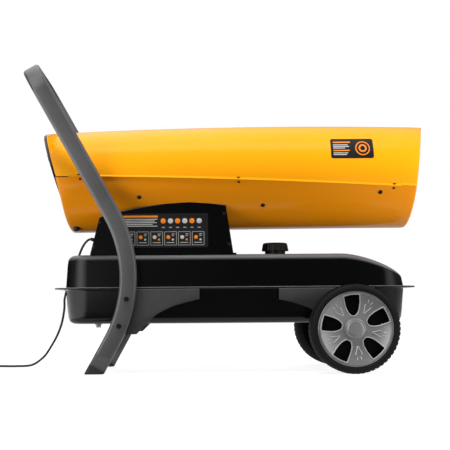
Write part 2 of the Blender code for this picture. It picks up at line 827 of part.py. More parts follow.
def wheel(side, hand, turn):
    """Rim, tyre and hub cap on one end of the axle. Their local Z axis points outward."""
    hub = empty("wheel_" + side, (AXLE_X, hand * WHEEL_TRACK / 2, AXLE_Z), turn)
    flange = RIM_DIAMETER / 2
    seat = flange - RIM_SEAT_DEPTH
    barrel = seat - RIM_WALL
    face = -RIM_INSET
    back_face = RIM_INSET - TYRE_WIDTH
    seat_top = face - RIM_FLANGE
    seat_bottom = back_face + RIM_FLANGE
    bore = AXLE_DIAMETER / 2 + TOUCH
    boss_end = -(WHEEL_TRACK / 2 - BRACKET_OUTER_Y - RUNNING)
    pocket = -HUB_INSET - CLIP_POCKET_DEPTH
    window_floor = -SPOKE_INSET - WINDOW_DEPTH
    profile = [(flange, face), (flange, seat_top), (seat, seat_top), (seat, seat_bottom),
               (flange, seat_bottom), (flange, back_face), (barrel, back_face),
               (barrel, window_floor - WINDOW_WEB), (BOSS_DIAMETER / 2, window_floor - WINDOW_WEB),
               (BOSS_DIAMETER / 2, boss_end), (bore, boss_end),
               (bore, pocket), (CLIP_POCKET_DIAMETER / 2, pocket), (CLIP_POCKET_DIAMETER / 2, -HUB_INSET),
               (HUB_DIAMETER / 2, -HUB_INSET), (barrel, -SPOKE_INSET), (barrel, face)]
    rim = turned("wheel_rim_" + side, profile, RIM_SILVER, closed=True, carrier=hub)
    windows = plate("windows_" + side, window_outlines(), -2 * window_floor, None, carrier=hub)
    cut(rim, windows)

    crown = WHEEL_DIAMETER / 2
    side_foot = flange + TOUCH
    bead = seat + TOUCH
    bulge = (side_foot + crown) / 2
    half = [(side_foot, -TYRE_BEAD_INSET), (bulge, 0), (crown - TYRE_SHOULDER_DROP, -TYRE_SHOULDER_INSET),
            (crown, -TYRE_CROWN_INSET)]
    tread = half + [(radius, -TYRE_WIDTH - height) for radius, height in reversed(half)]
    seats = [(side_foot, seat_bottom + TOUCH), (bead, seat_bottom + TOUCH), (bead, seat_top - TOUCH),
             (side_foot, seat_top - TOUCH)]
    turned("tyre_" + side, tread + seats, RUBBER, closed=True, carrier=hub)

    cap_back = -HUB_INSET + TOUCH
    cap_radius = HUB_CAP_DIAMETER / 2
    dome = [(cap_radius * out, cap_back + HUB_CAP_HEIGHT * rise) for out, rise in HUB_CAP_SHARES]
    turned("hub_cap_" + side, dome, RIM_SILVER, steps=20, carrier=hub)

    clip_low = pocket + TOUCH
    washer("axle_clip_" + side, CLIP_DIAMETER, AXLE_DIAMETER + 2 * TOUCH, clip_low, clip_low + CLIP_THICKNESS,
           ZINC, turn, hub.location, SMALL_STEPS)


def axle():
    half = WHEEL_TRACK / 2 - HUB_INSET - AXLE_END_INSET
    rod("axle", AXLE_DIAMETER, -half, half, ZINC, ALONG_LEFT, (AXLE_X, 0, AXLE_Z))


def tank_top(x):
    """Height of the tank's top face, which falls away at its front end."""
    run = x - (TANK_CENTRE_X + TANK_LENGTH / 2 - SLOPE_LENGTH)
    return TANK_TOP_Z - SLOPE_DROP * max(0, run / SLOPE_LENGTH) ** SLOPE_POWER


def pan_ring(inset, lip_end, lip_side, height_at):
    """One ring round the tank: its left half from rear to front, then its mirror image."""
    half_length = TANK_LENGTH / 2 - inset + lip_end
    half_width = TANK_WIDTH / 2 - inset + lip_side
    radius = TANK_PLAN_RADIUS - inset + lip_side
    rear = TANK_CENTRE_X - half_length + radius
    front = TANK_CENTRE_X + half_length - radius
    slope_start = TANK_CENTRE_X + TANK_LENGTH / 2 - SLOPE_LENGTH
    points = arc((rear, half_width - radius), radius, math.pi, QUARTER, CORNER_STEPS)
    points += [(slope_start + (front - slope_start) * i / SLOPE_STEPS, half_width) for i in range(SLOPE_STEPS)]
    points += arc((front, half_width - radius), radius, QUARTER, 0, CORNER_STEPS)
    ring = [(x, y, height_at(x)) for x, y in points]
    return ring + [(x, -y, z) for x, y, z in reversed(ring)]


def tank_pan(name, seam_z, far_at, side):
    """A pressed half of the tank: flange, wall, rounded edge and face, open at the seam."""
    flange_z = seam_z + side * PAN_SHEET
    depth = abs(far_at(TANK_CENTRE_X) - flange_z)

    def ring(inset, share, lip_end=0, lip_side=0):
        return pan_ring(inset, lip_end, lip_side, lambda x: flange_z + (far_at(x) - flange_z) * share)

    rows = [ring(0, 0, FLANGE_END_LIP, FLANGE_SIDE_LIP), ring(0, 0)]
    for i in range(EDGE_STEPS + 1):
        angle = QUARTER * i / EDGE_STEPS
        inset = TANK_DRAFT + TANK_EDGE_RADIUS * (1 - math.cos(angle))
        rows.append(ring(inset, 1 - TANK_EDGE_RADIUS * (1 - math.sin(angle)) / depth))
    work = bmesh.new()
    grid = [[work.verts.new(point) for point in row] for row in rows]
    count = len(rows[0])
    for near, far in zip(grid, grid[1:]):
        for i in range(count):
            j = (i + 1) % count
            work.faces.new((near[i], near[j], far[j], far[i]))
    face = grid[-1]
    for i in range(count // 2 - 1):
        work.faces.new((face[i], face[i + 1], face[count - 2 - i], face[count - 1 - i]))
    work.faces.ensure_lookup_table()
    bmesh.ops.recalc_face_normals(work, faces=work.faces)
    work.normal_update()
    if work.faces[-1].normal.z * side < 0:
        bmesh.ops.reverse_faces(work, faces=work.faces)
    mesh = bpy.data.meshes.new(name)
    work.to_mesh(mesh)
    work.free()
    mesh.shade_smooth()
    mesh.set_sharp_from_angle(angle=math.radians(40))
    item = mesh_object(name, mesh, BLACK)
    thicken(item, PAN_SHEET)
    return item


def tank():
    upper = tank_pan("tank_upper_pan", TANK_SEAM_Z, tank_top, 1)
    lower = tank_pan("tank_lower_pan", TANK_SEAM_Z - TOUCH, lambda x: TANK_BOTTOM_Z, -1)
    through = PAN_SHEET + OVERRUN
    neck_bore = NECK_DIAMETER - 2 * NECK_WALL
    cut(upper, rod("filler_hole", neck_bore, TANK_TOP_Z - through, TANK_TOP_Z + through, None,
                   location=(FILLER_X, 0, 0)))
    pickup_hole = LINE_DIAMETER + 2 * TOUCH
    cut(upper, rod("pickup_hole", pickup_hole, TANK_TOP_Z - through, TANK_TOP_Z + through, None,
                   location=(LINE_DROP_X, -LINE_SPREAD, 0), steps=12))
    drain_hole = DRAIN_SHANK_DIAMETER + 2 * TOUCH
    cut(lower, rod("drain_hole", drain_hole, TANK_BOTTOM_Z - through, TANK_BOTTOM_Z + through, None,
                   location=(DRAIN_X, 0, 0), steps=SMALL_STEPS))


def filler():
    """The neck with its foot flange on the tank, and the ribbed cap with its gasket."""
    neck_low = TANK_TOP_Z + TOUCH
    neck_top = TANK_TOP_Z + NECK_HEIGHT
    outer = NECK_DIAMETER / 2
    bore = outer - NECK_WALL
    profile = [(outer, neck_top), (outer, neck_low + NECK_FLANGE_THICKNESS),
               (outer + NECK_FLANGE, neck_low + NECK_FLANGE_THICKNESS), (outer + NECK_FLANGE, neck_low),
               (bore, neck_low), (bore, neck_top)]
    turned("filler_neck", profile, DARK_PLASTIC, location=(FILLER_X, 0, 0), closed=True)

    cap_low = TANK_TOP_Z + CAP_LOW_ABOVE_TANK
    gasket_low = neck_top + TOUCH
    washer("fuel_cap_gasket", NECK_DIAMETER, 2 * bore, 0, GASKET_THICKNESS, RUBBER,
           location=(FILLER_X, 0, gasket_low))

    cap_inside = gasket_low + GASKET_THICKNESS + TOUCH - cap_low
    skirt_bore = outer + TOUCH
    low_radius = CAP_DIAMETER / 2
    high_radius = CAP_TOP_DIAMETER / 2

    def ribbed_ring(radius, depth, height):
        ring = []
        for i in range(CAP_RIB_COUNT * 4):
            angle = 2 * math.pi * i / (CAP_RIB_COUNT * 4)
            reach = radius - (depth if i % 4 < 2 else 0)
            ring.append((reach * math.cos(angle), reach * math.sin(angle), height))
        return ring

    side_top = CAP_HEIGHT - CAP_EDGE
    rings = [ribbed_ring(low_radius, CAP_RIB_DEPTH, 0), ribbed_ring(high_radius, CAP_RIB_DEPTH, side_top),
             ribbed_ring(high_radius - CAP_ROUNDING, 0, CAP_HEIGHT - CAP_ROUNDING),
             ribbed_ring(high_radius - CAP_EDGE, 0, CAP_HEIGHT)]
    cap = loft("fuel_cap", rings, DARK_PLASTIC)
    cap.location = (FILLER_X, 0, cap_low)
    cut(cap, rod("cap_hollow", 2 * skirt_bore, -OVERRUN, cap_inside, None, location=cap.location))


def drain():
    washer_top = TANK_BOTTOM_Z - TOUCH
    washer_low = washer_top - DRAIN_WASHER_THICKNESS
    washer("drain_washer", DRAIN_WASHER_DIAMETER, DRAIN_SHANK_DIAMETER + 2 * TOUCH, washer_low, washer_top,
           RUBBER, location=(DRAIN_X, 0, 0), steps=SMALL_STEPS)
    head_top = washer_low - TOUCH
    head = plate("drain_plug", [circle(DRAIN_HEX / math.sqrt(3), 6)], DRAIN_HEX_HEIGHT, ZINC,
                 location=(DRAIN_X, 0, head_top - DRAIN_HEX_HEIGHT / 2))
    shank_low = head_top - DRAIN_HEX_HEIGHT / 2
    join(head, rod("drain_shank", DRAIN_SHANK_DIAMETER, shank_low, washer_top + DRAIN_SHANK_LENGTH, None,
                   location=(DRAIN_X, 0, 0), steps=SMALL_STEPS))


FRONT_BRACKET_EDGE_SHARES = ((0, 0), (0, 0.28), (0.06, 0.31), (0.17, 0.37), (0.35, 0.53), (0.53, 0.78),
                             (0.62, 0.94))
FRONT_BRACKET_BACK_SHARES = ((0.89, 0.94), (0.95, 0.70), (1, 0.36), (1, 0))
REAR_BRACKET_EDGE_SHARES = ((0, 1), (0.29, 1), (0.42, 0.75), (0.51, 0.58), (0.685, 0.40), (0.835, 0.31),
                            (1, 0.23), (1, 0), (0.105, 0))


def bracket(name, hand, outline, tab_start, tab_end):
    """An upright plate beside the tank with a tab folded in under the flange."""
    middle = hand * (BRACKET_INNER_Y + BRACKET_SHEET / 2)
    item = plate(name, [outline], BRACKET_SHEET, GREY, FACING_Y, (0, middle, 0))
    inner = hand * (BRACKET_INNER_Y - BRACKET_TAB)
    edges = sorted((inner, middle))
    join(item, block(name + "_tab", (tab_start, edges[0], TAB_TOP_Z - BRACKET_SHEET),
                     (tab_end, edges[1], TAB_TOP_Z), None))
    return item


def front_bracket(side, hand):
    drop = TAB_TOP_Z - AXLE_Z

    def spots(shares):
        return [(FRONT_BRACKET_X + FRONT_BRACKET_LENGTH * u, TAB_TOP_Z - drop * v) for u, v in shares]

    eye = arc((AXLE_X, AXLE_Z), AXLE_EYE_RADIUS, AXLE_EYE_START, AXLE_EYE_END, 6)
    outline = spots(FRONT_BRACKET_EDGE_SHARES) + eye + spots(FRONT_BRACKET_BACK_SHARES)
    item = bracket("front_bracket_" + side, hand, outline, FRONT_BRACKET_X,
                   FRONT_BRACKET_X + FRONT_BRACKET_LENGTH)
    hole = AXLE_DIAMETER + 2 * TOUCH
    reach = BRACKET_SHEET + OVERRUN
    cut(item, rod("axle_hole_" + side, hole, -reach, reach, None, ALONG_LEFT,
                  (AXLE_X, hand * BRACKET_INNER_Y, AXLE_Z)))


def rear_bracket(side, hand):
    outline = [(REAR_BRACKET_X + REAR_BRACKET_LENGTH * u, TAB_TOP_Z - REAR_BRACKET_DEPTH * v)
               for u, v in REAR_BRACKET_EDGE_SHARES]
    tab_start = REAR_BRACKET_X + REAR_BRACKET_LENGTH * REAR_BRACKET_EDGE_SHARES[-1][0]
    bracket("rear_bracket_" + side, hand, outline, tab_start, REAR_BRACKET_X + REAR_BRACKET_LENGTH)


def leg_path():
    """Centre line of one leg in side view, from under the floor up to the handle bar."""
    middle = (LEG_APEX_X - LEG_BEND_RADIUS, LEG_APEX_Z)
    bend = arc(middle, LEG_BEND_RADIUS, -LEG_FOOT_LEAN, LEG_TOP_LEAN, LEG_STEPS)
    low_x, low_z = bend[0]
    below = low_z + OVERRUN
    start = (low_x - below * math.tan(LEG_FOOT_LEAN), low_z - below)
    high_x, high_z = bend[-1]
    end = (high_x - HANDLE_REACH * math.sin(LEG_TOP_LEAN), high_z + HANDLE_REACH * math.cos(LEG_TOP_LEAN))
    return [start] + bend, end


def tube_end(rise):
    """Middle of the tube's square lower end, or a spot above it along the tube."""
    low_x, low_z = leg_path()[0][1]
    height = SOLE_LOW_EDGE + TOUCH + TUBE_BROAD / 2 * math.sin(LEG_FOOT_LEAN) + rise * math.cos(LEG_FOOT_LEAN)
    return (low_x - (low_z - height) * math.tan(LEG_FOOT_LEAN), 0, height)


def handle_frame():
    """One rectangular tube: up the left leg, over as the handle bar, and down the right leg."""
    side_path, bar = leg_path()
    along = Vector((-math.sin(LEG_TOP_LEAN), 0, math.cos(LEG_TOP_LEAN)))
    corner = Vector((bar[0], LEG_Y, bar[1]))
    centre = corner - along * HANDLE_BEND_RADIUS - Vector((0, HANDLE_BEND_RADIUS, 0))
    left = [Vector((x, LEG_Y, z)) for x, z in side_path]
    for i in range(HANDLE_STEPS + 1):
        angle = QUARTER * i / HANDLE_STEPS
        left.append(centre + HANDLE_BEND_RADIUS * (along * math.sin(angle)
                                                   + Vector((0, math.cos(angle), 0))))
    path = left + [Vector((spot.x, -spot.y, spot.z)) for spot in reversed(left)]
    section = bpy.data.curves.new("tube_section", "CURVE")
    section.dimensions = "2D"
    add_spline(section, list(reversed(rectangle(TUBE_NARROW, TUBE_BROAD, TUBE_CORNER, 2))), True)
    section_item = bpy.data.objects.new("tube_section", section)
    CUTTERS.objects.link(section_item)
    curve = bpy.data.curves.new("handle_frame", "CURVE")
    curve.dimensions = "3D"
    curve.twist_mode = "MINIMUM"
    curve.bevel_mode = "OBJECT"
    curve.bevel_object = section_item
    add_spline(curve, path, False)
    item = settle(mesh_object("handle_frame", curve, GREY))
    bpy.data.objects.remove(section_item, do_unlink=True)
    thicken(item, TUBE_WALL)
    low = (-TUBE_BROAD, -WHEEL_TRACK, -2 * TUBE_BROAD)
    cut(item, block("foot_cut", low, (TUBE_BROAD, WHEEL_TRACK, 0), None, rotation=(0, LEG_FOOT_LEAN, 0),
                    location=tube_end(0)))


def foot_plug(side, hand):
    """A rubber wedge from the square-cut tube down to the floor, with a stub that sits inside the tube."""
    end = Vector(tube_end(-TOUCH))
    up = Vector((math.sin(LEG_FOOT_LEAN), 0, math.cos(LEG_FOOT_LEAN)))
    across = Vector((math.cos(LEG_FOOT_LEAN), 0, -math.sin(LEG_FOOT_LEAN)))

    def ring(inset, rise):
        outline = rectangle(TUBE_BROAD - 2 * inset, TUBE_NARROW - 2 * inset, TUBE_CORNER - inset / 2, 2)
        return [end + up * rise + across * x + Vector((0, y + hand * LEG_Y, 0)) for x, y in outline]

    sole = [spot - up * (spot.z / up.z) for spot in ring(0, 0)]
    inside = TUBE_WALL + TOUCH
    loft("foot_plug_" + side, [sole, ring(0, 0), ring(inside, 0), ring(inside, FOOT_STUB)], RUBBER)


def shells():
    upper_extra = SHELL_SHEET + TOUCH
    rows = [shell_row(share, upper_angles(share), upper_extra) for share in shell_shares()]
    sheet("upper_shell", rows, SHELL_SHEET, YELLOW, (0, 1, 0))
    rows = [shell_row(share, lower_angles(share), 0) for share in shell_shares()]
    lower = sheet("lower_shell", rows, SHELL_SHEET, YELLOW, (0, -1, 0))
    for x, y in ((LINE_DROP_X, -LINE_SPREAD), (LINE_DROP_X, LINE_SPREAD), (AIR_LINE_REAR_X, LINE_SPREAD)):
        share = shell_share(x)
        low = shell_axis_z(share) - shell_radius(share)
        cut(lower, rod("line_hole", PIPE_HOLE_DIAMETER, low - OVERRUN, low + 2 * OVERRUN, None,
                       location=(x, y, 0), steps=16))


def chamber():
    radius = CHAMBER_DIAMETER / 2
    throat = THROAT_DIAMETER / 2
    length = CHAMBER_FRONT_X - CHAMBER_BACK_X
    cone = CHAMBER_CONE_LENGTH
    bead = CHAMBER_BEAD
    profile = [(radius, length), (radius + bead, length - bead), (radius, length - 2 * bead),
               (radius, cone), (throat + CHAMBER_SHEET, 0), (throat, 0),
               (radius - CHAMBER_SHEET, cone), (radius - CHAMBER_SHEET, length)]
    turned("combustion_chamber", profile, STAINLESS, ALONG_X, (CHAMBER_BACK_X, 0, CHAMBER_AXIS_Z), True,
           CHAMBER_STEPS)


def chamber_support(name, x):
    """A ring round the chamber with three arms that reach the barrel."""
    bore = CHAMBER_DIAMETER / 2 + TOUCH
    ring = bore + SUPPORT_RING
    arms = ((math.radians(30), TOUCH), (math.radians(150), TOUCH), (math.radians(270), -SHELL_SHEET))
    outline = []
    half = math.asin(SUPPORT_ARM_WIDTH / 2 / ring)
    for i, (angle, inner_extra) in enumerate(arms):
        tip_half = math.asin(SUPPORT_ARM_WIDTH / 2 / reach_to_shell(x, angle, inner_extra))
        for tip in (angle - tip_half, angle, angle + tip_half):
            reach = reach_to_shell(x, tip, inner_extra) - SHELL_SEAT_GAP
            outline.append((reach * math.cos(tip), reach * math.sin(tip)))
        following = arms[(i + 1) % len(arms)][0] + (2 * math.pi if i == len(arms) - 1 else 0)
        outline += arc((0, 0), ring, angle + half, following - half, 10)
    hole = circle(bore, CHAMBER_STEPS)
    plate(name, [outline, hole], SUPPORT_SHEET, ZINC, FACING_X, (x, 0, CHAMBER_AXIS_Z))


def deflector():
    """A dished disc on a three-armed star inside the chamber's mouth."""
    inside = CHAMBER_DIAMETER / 2 - CHAMBER_SHEET
    reach = inside * math.cos(math.pi / CHAMBER_STEPS) - TOUCH
    hub = DEFLECTOR_HUB_DIAMETER / 2
    half_width = DEFLECTOR_ARM_WIDTH / 2
    outline = []
    for i in range(3):
        angle = QUARTER + 2 * math.pi * i / 3
        tip = math.asin(half_width / reach)
        foot = math.asin(half_width / hub)
        outline += arc((0, 0), reach, angle - tip, angle + tip, 2)
        outline += arc((0, 0), hub, angle + foot, angle + 2 * math.pi / 3 - foot, 4)
    x = CHAMBER_FRONT_X - DEFLECTOR_INSET
    item = plate("flame_deflector", [outline], DEFLECTOR_SHEET, STAINLESS, FACING_X, (x, 0, CHAMBER_AXIS_Z))
    radius = DEFLECTOR_DIAMETER / 2
    profile = [(0, DEFLECTOR_SHEET), (hub, DEFLECTOR_SHEET), (radius, DEFLECTOR_DISH),
               (radius, DEFLECTOR_DISH - DEFLECTOR_SHEET), (hub, 0), (0, 0)]
    join(item, turned("deflector_dish", profile, None, ALONG_X, (x, 0, CHAMBER_AXIS_Z), steps=CHAMBER_STEPS))


def burner():
    """The burner head in the chamber's throat with its nozzle, igniter and photocell."""
    rear = CHAMBER_BACK_X - BURNER_REAR_REACH
    outer = THROAT_DIAMETER / 2 - TOUCH
    inner = outer - BURNER_SHEET
    nozzle_bore = NOZZLE_DIAMETER / 2 + TOUCH
    profile = [(outer, BURNER_DEPTH), (outer, 0), (nozzle_bore, 0), (nozzle_bore, BURNER_SHEET),
               (inner, BURNER_SHEET), (inner, BURNER_DEPTH)]
    head = turned("burner_head", profile, STAINLESS, ALONG_X, (rear, 0, CHAMBER_AXIS_Z), True, CHAMBER_STEPS)
    igniter_hole = IGNITER_DIAMETER + 2 * TOUCH
    cut(head, rod("igniter_hole", igniter_hole, -OVERRUN, OVERRUN, None, ALONG_X,
                  (rear, 0, CHAMBER_AXIS_Z + IGNITER_OFFSET), 16))
    sight = PHOTOCELL_DIAMETER / 2
    cut(head, rod("sight_hole", sight, -OVERRUN, OVERRUN, None, ALONG_X,
                  (rear, 0, CHAMBER_AXIS_Z - PHOTOCELL_OFFSET), 16))

    radius = NOZZLE_DIAMETER / 2
    tip = NOZZLE_TIP_DIAMETER / 2
    body = NOZZLE_BODY_LENGTH + BURNER_SHEET + TOUCH
    profile = [(0, body + NOZZLE_TIP_LENGTH), (NOZZLE_ORIFICE_DIAMETER / 2, body + NOZZLE_TIP_LENGTH),
               (tip, body + NOZZLE_TIP_LENGTH / 2), (tip, body), (radius, body), (radius, 0), (0, 0)]
    turned("nozzle_holder", profile, BRASS, ALONG_X, (NOZZLE_REAR_X, 0, CHAMBER_AXIS_Z), steps=SMALL_STEPS)

    ceramic = IGNITER_DIAMETER / 2
    wire = IGNITER_ROD_DIAMETER / 2
    half = IGNITER_LENGTH / 2
    profile = [(0, half + IGNITER_ROD_LENGTH), (wire, half + IGNITER_ROD_LENGTH), (wire, half),
               (ceramic, half), (ceramic, -half), (0, -half)]
    turned("igniter", profile, CERAMIC, ALONG_X, (rear, 0, CHAMBER_AXIS_Z + IGNITER_OFFSET), steps=16)
    eye = PHOTOCELL_DIAMETER / 2
    neck = PHOTOCELL_NECK_DIAMETER / 2
    profile = [(0, -TOUCH), (eye, -TOUCH), (eye, -PHOTOCELL_HEAD_LENGTH), (neck, -PHOTOCELL_HEAD_LENGTH),
               (neck, -PHOTOCELL_LENGTH), (0, -PHOTOCELL_LENGTH)]
    turned("photocell", profile, DARK_PLASTIC, ALONG_X, (rear, 0, CHAMBER_AXIS_Z - PHOTOCELL_OFFSET), steps=16)


def motor():
    body = MOTOR_DIAMETER / 2
    bell = MOTOR_BELL_DIAMETER / 2
    bore = SHAFT_DIAMETER / 2 + TOUCH
    edge = MOTOR_BELL_LENGTH
    profile = [(bell, MOTOR_LENGTH), (body, MOTOR_LENGTH - edge), (body, edge), (bell, 0), (bore, 0),
               (bore, MOTOR_LENGTH)]
    turned("motor", profile, ALUMINIUM, ALONG_X, (MOTOR_X, 0, CHAMBER_AXIS_Z), True, CHAMBER_STEPS)

    saddle = body + TOUCH
    x = MOUNT_X + MOUNT_LENGTH
    share = shell_share(x)
    seat = shell_radius(share) - SHELL_SHEET - SHELL_SEAT_GAP
    down = -QUARTER
    drop = shell_axis_z(share) - CHAMBER_AXIS_Z
    outline = arc((0, 0), saddle, down - MOUNT_SPREAD, down + MOUNT_SPREAD, 8)
    outline += arc((0, drop), seat, down + MOUNT_SPREAD, down - MOUNT_SPREAD, 8)
    trim = MOUNT_HOLLOW_SPREAD
    hole = arc((0, 0), saddle + MOUNT_SHEET, down - trim, down + trim, 6)
    hole += arc((0, drop), seat - MOUNT_SHEET, down + trim, down - trim, 6)
    plate("motor_mount", [outline, hole], MOUNT_LENGTH, ZINC, FACING_X,
          (MOUNT_X + MOUNT_LENGTH / 2, 0, CHAMBER_AXIS_Z))


def fan_blade_rows(first_angle):
    """Rows of points over one blade, from inside the hub out to its tip."""
    hub = FAN_HUB_DIAMETER / 2
    tip = FAN_DIAMETER / 2
    stations = [(0, FAN_BURIED_RADIUS, FAN_BURIED_CHORD)]
    stations += [(share, hub + (tip - hub) * share, FAN_ROOT_CHORD + (FAN_TIP_CHORD - FAN_ROOT_CHORD) * share)
                 for share in FAN_ROW_SHARES]
    rows = []
    for share, radius, chord in stations:
        pitch = FAN_ROOT_PITCH + (FAN_TIP_PITCH - FAN_ROOT_PITCH) * share
        row = []
        for i in range(FAN_CHORD_STEPS + 1):
            place = i / FAN_CHORD_STEPS - 0.5
            camber = FAN_CAMBER * (1 - 4 * place ** 2)
            across = place * chord * math.cos(pitch) - camber * math.sin(pitch)
            ahead = place * chord * math.sin(pitch) + camber * math.cos(pitch)
            angle = first_angle + across / radius
            row.append((radius * math.cos(angle), radius * math.sin(angle), ahead))
        rows.append(row)
    return rows


def fan():
    """The hub with its twisted blades, the shaft and the pump's slotted rotor, which turn together."""
    spindle = empty("fan_spindle", (FAN_REAR_X + FAN_HUB_LENGTH / 2, 0, CHAMBER_AXIS_Z), ALONG_X)
    bore = SHAFT_DIAMETER / 2 + TOUCH
    hub = FAN_HUB_DIAMETER / 2
    half = FAN_HUB_LENGTH / 2
    profile = [(hub - FAN_HUB_EDGE, half), (hub, half - FAN_HUB_EDGE), (hub, -half), (bore, -half), (bore, half)]
    item = turned("fan", profile, ALUMINIUM, closed=True, steps=CHAMBER_STEPS, carrier=spindle)
    work = bmesh.new()
    for i in range(FAN_BLADES):
        grid = [[work.verts.new(point) for point in row] for row in fan_blade_rows(2 * math.pi * i / FAN_BLADES)]
        for near, far in zip(grid, grid[1:]):
            for k in range(len(near) - 1):
                work.faces.new((near[k], near[k + 1], far[k + 1], far[k]))
    mesh = bpy.data.meshes.new("fan_blades")
    work.to_mesh(mesh)
    work.free()
    blades = mesh_object("fan_blades", mesh, None, carrier=spindle)
    thicken(blades, FAN_BLADE_SHEET, 0)
    join(item, blades)

    rotor_rear = PUMP_REAR_X + RUNNING
    rotor_front = PUMP_FRONT_X - PUMP_BACK - RUNNING
    rear = rotor_rear - spindle.location.x
    front = rotor_front - spindle.location.x
    rod("motor_shaft", SHAFT_DIAMETER, rear, half, ZINC, steps=SMALL_STEPS, carrier=spindle)
    rotor_edge = ROTOR_DIAMETER / 2
    slot_floor = rotor_edge - ROTOR_SLOT_DEPTH
    outline = []
    for i in range(ROTOR_SLOTS):
        angle = 2 * math.pi * i / ROTOR_SLOTS
        rim = math.asin(ROTOR_SLOT_WIDTH / 2 / rotor_edge)
        floor = math.asin(ROTOR_SLOT_WIDTH / 2 / slot_floor)
        outline += arc((0, 0), slot_floor, angle - floor, angle + floor, 1)
        outline += arc((0, 0), rotor_edge, angle + rim, angle + 2 * math.pi / ROTOR_SLOTS - rim, 8)
    plate("pump_rotor", [outline, circle(bore, CHAMBER_STEPS)], front - rear, ZINC, (0, 0, 0),
          (0, 0, (front + rear) / 2), spindle)


def air_pump():
    radius = PUMP_DIAMETER / 2
    profile = [(0, PUMP_LENGTH), (radius, PUMP_LENGTH), (radius, 0), (0, 0)]
    housing = turned("air_pump_housing", profile, ALUMINIUM, ALONG_X, (PUMP_REAR_X, 0, CHAMBER_AXIS_Z),
                     steps=CHAMBER_STEPS)
    cut(housing, rod("pump_bore", PUMP_BORE_DIAMETER, -OVERRUN, PUMP_LENGTH - PUMP_BACK, None, ALONG_X,
                     (PUMP_REAR_X, 0, CHAMBER_AXIS_Z - PUMP_BORE_OFFSET), CHAMBER_STEPS))
    cut(housing, rod("pump_shaft_hole", SHAFT_DIAMETER + 2 * TOUCH, 0, PUMP_LENGTH + OVERRUN, None, ALONG_X,
                     (PUMP_REAR_X, 0, CHAMBER_AXIS_Z), CHAMBER_STEPS))
    thick = PUMP_COVER_THICKNESS
    edge = PUMP_COVER_EDGE
    profile = [(0, 0), (radius, 0), (radius, -thick + edge), (radius - edge, -thick), (0, -thick)]
    turned("air_pump_cover", profile, DARK_PLASTIC, ALONG_X, (PUMP_REAR_X - TOUCH, 0, CHAMBER_AXIS_Z),
           steps=CHAMBER_STEPS)


def guard_row(radius, height):
    """Points round the guard at one radius: two edges for each spoke, and the slot between them."""
    row = []
    edge = GUARD_WIRE / 2 / radius
    sector = 2 * math.pi / GUARD_SPOKES
    for spoke in range(GUARD_SPOKES):
        middle = sector * spoke
        row.append(middle - edge)
        row += [middle + edge + (sector - 2 * edge) * k / GUARD_SLOT_STEPS for k in range(GUARD_SLOT_STEPS)]
    return [(radius * math.cos(angle), radius * math.sin(angle), height) for angle in row]


def intake_guard():
    """A dished guard across the slanting rear mouth: rings and spokes with open slots between them."""
    radius = SHELL_REAR_DIAMETER / 2 - SHELL_SHEET - GUARD_SEAT_GAP
    hub = GUARD_HUB_DIAMETER / 2
    pitch = (radius - GUARD_RIM - hub + GUARD_WIRE) / GUARD_RINGS
    radii = [hub]
    for ring in range(GUARD_RINGS):
        radii += [hub + (ring + 1) * pitch - GUARD_WIRE, hub + (ring + 1) * pitch]
    radii[-1] = radius
    work = bmesh.new()
    rows = []
    for reach in radii:
        height = GUARD_DISH * (1 - (reach / radius) ** 2)
        rows.append([work.verts.new(point) for point in guard_row(reach, height)])
    count = len(rows[0])
    for band, (near, far) in enumerate(zip(rows, rows[1:])):
        slotted = band % 2 == 0
        for i in range(count):
            if slotted and i % (GUARD_SLOT_STEPS + 1) != 0:
                continue
            j = (i + 1) % count
            work.faces.new((near[i], near[j], far[j], far[i]))
    work.faces.new(rows[0])
    bmesh.ops.recalc_face_normals(work, faces=work.faces)
    mesh = bpy.data.meshes.new("intake_guard")
    work.to_mesh(mesh)
    work.free()
    guard = mesh_object("intake_guard", mesh, BLACK, location=(GUARD_X, 0, SHELL_REAR_AXIS_Z))
    mesh.transform(Matrix.Rotation(-QUARTER, 4, "Y"))
    mesh.transform(Matrix.Diagonal((1, 1, 1 / math.cos(GUARD_LEAN), 1)))
    guard.rotation_euler = (0, -GUARD_LEAN, 0)
    thicken(guard, GUARD_SHEET, 0)


def box_edge_x(z, rear):
    """The base box's slanting rear or front edge at a height."""
    rise = z - BOX_FLOOR_Z
    return BOX_REAR_X + rise * BOX_REAR_LEAN if rear else BOX_FRONT_X - rise * BOX_FRONT_LEAN


def cover_top(share):
    """Height of a cover's top edge, rising from the rear to a long level stretch."""
    return BOX_FLOOR_Z + along_shell(BOX_REAR_HEIGHT, BOX_MIDDLE_HEIGHT, BOX_FRONT_HEIGHT, share)


def barrel_cutter(name):
    """The barrel's lower half with the clearance of a touching piece."""
    rings = [shell_row(share, lower_angles(share), TOUCH) for share in shell_shares()]
    return loft(name, rings, None)


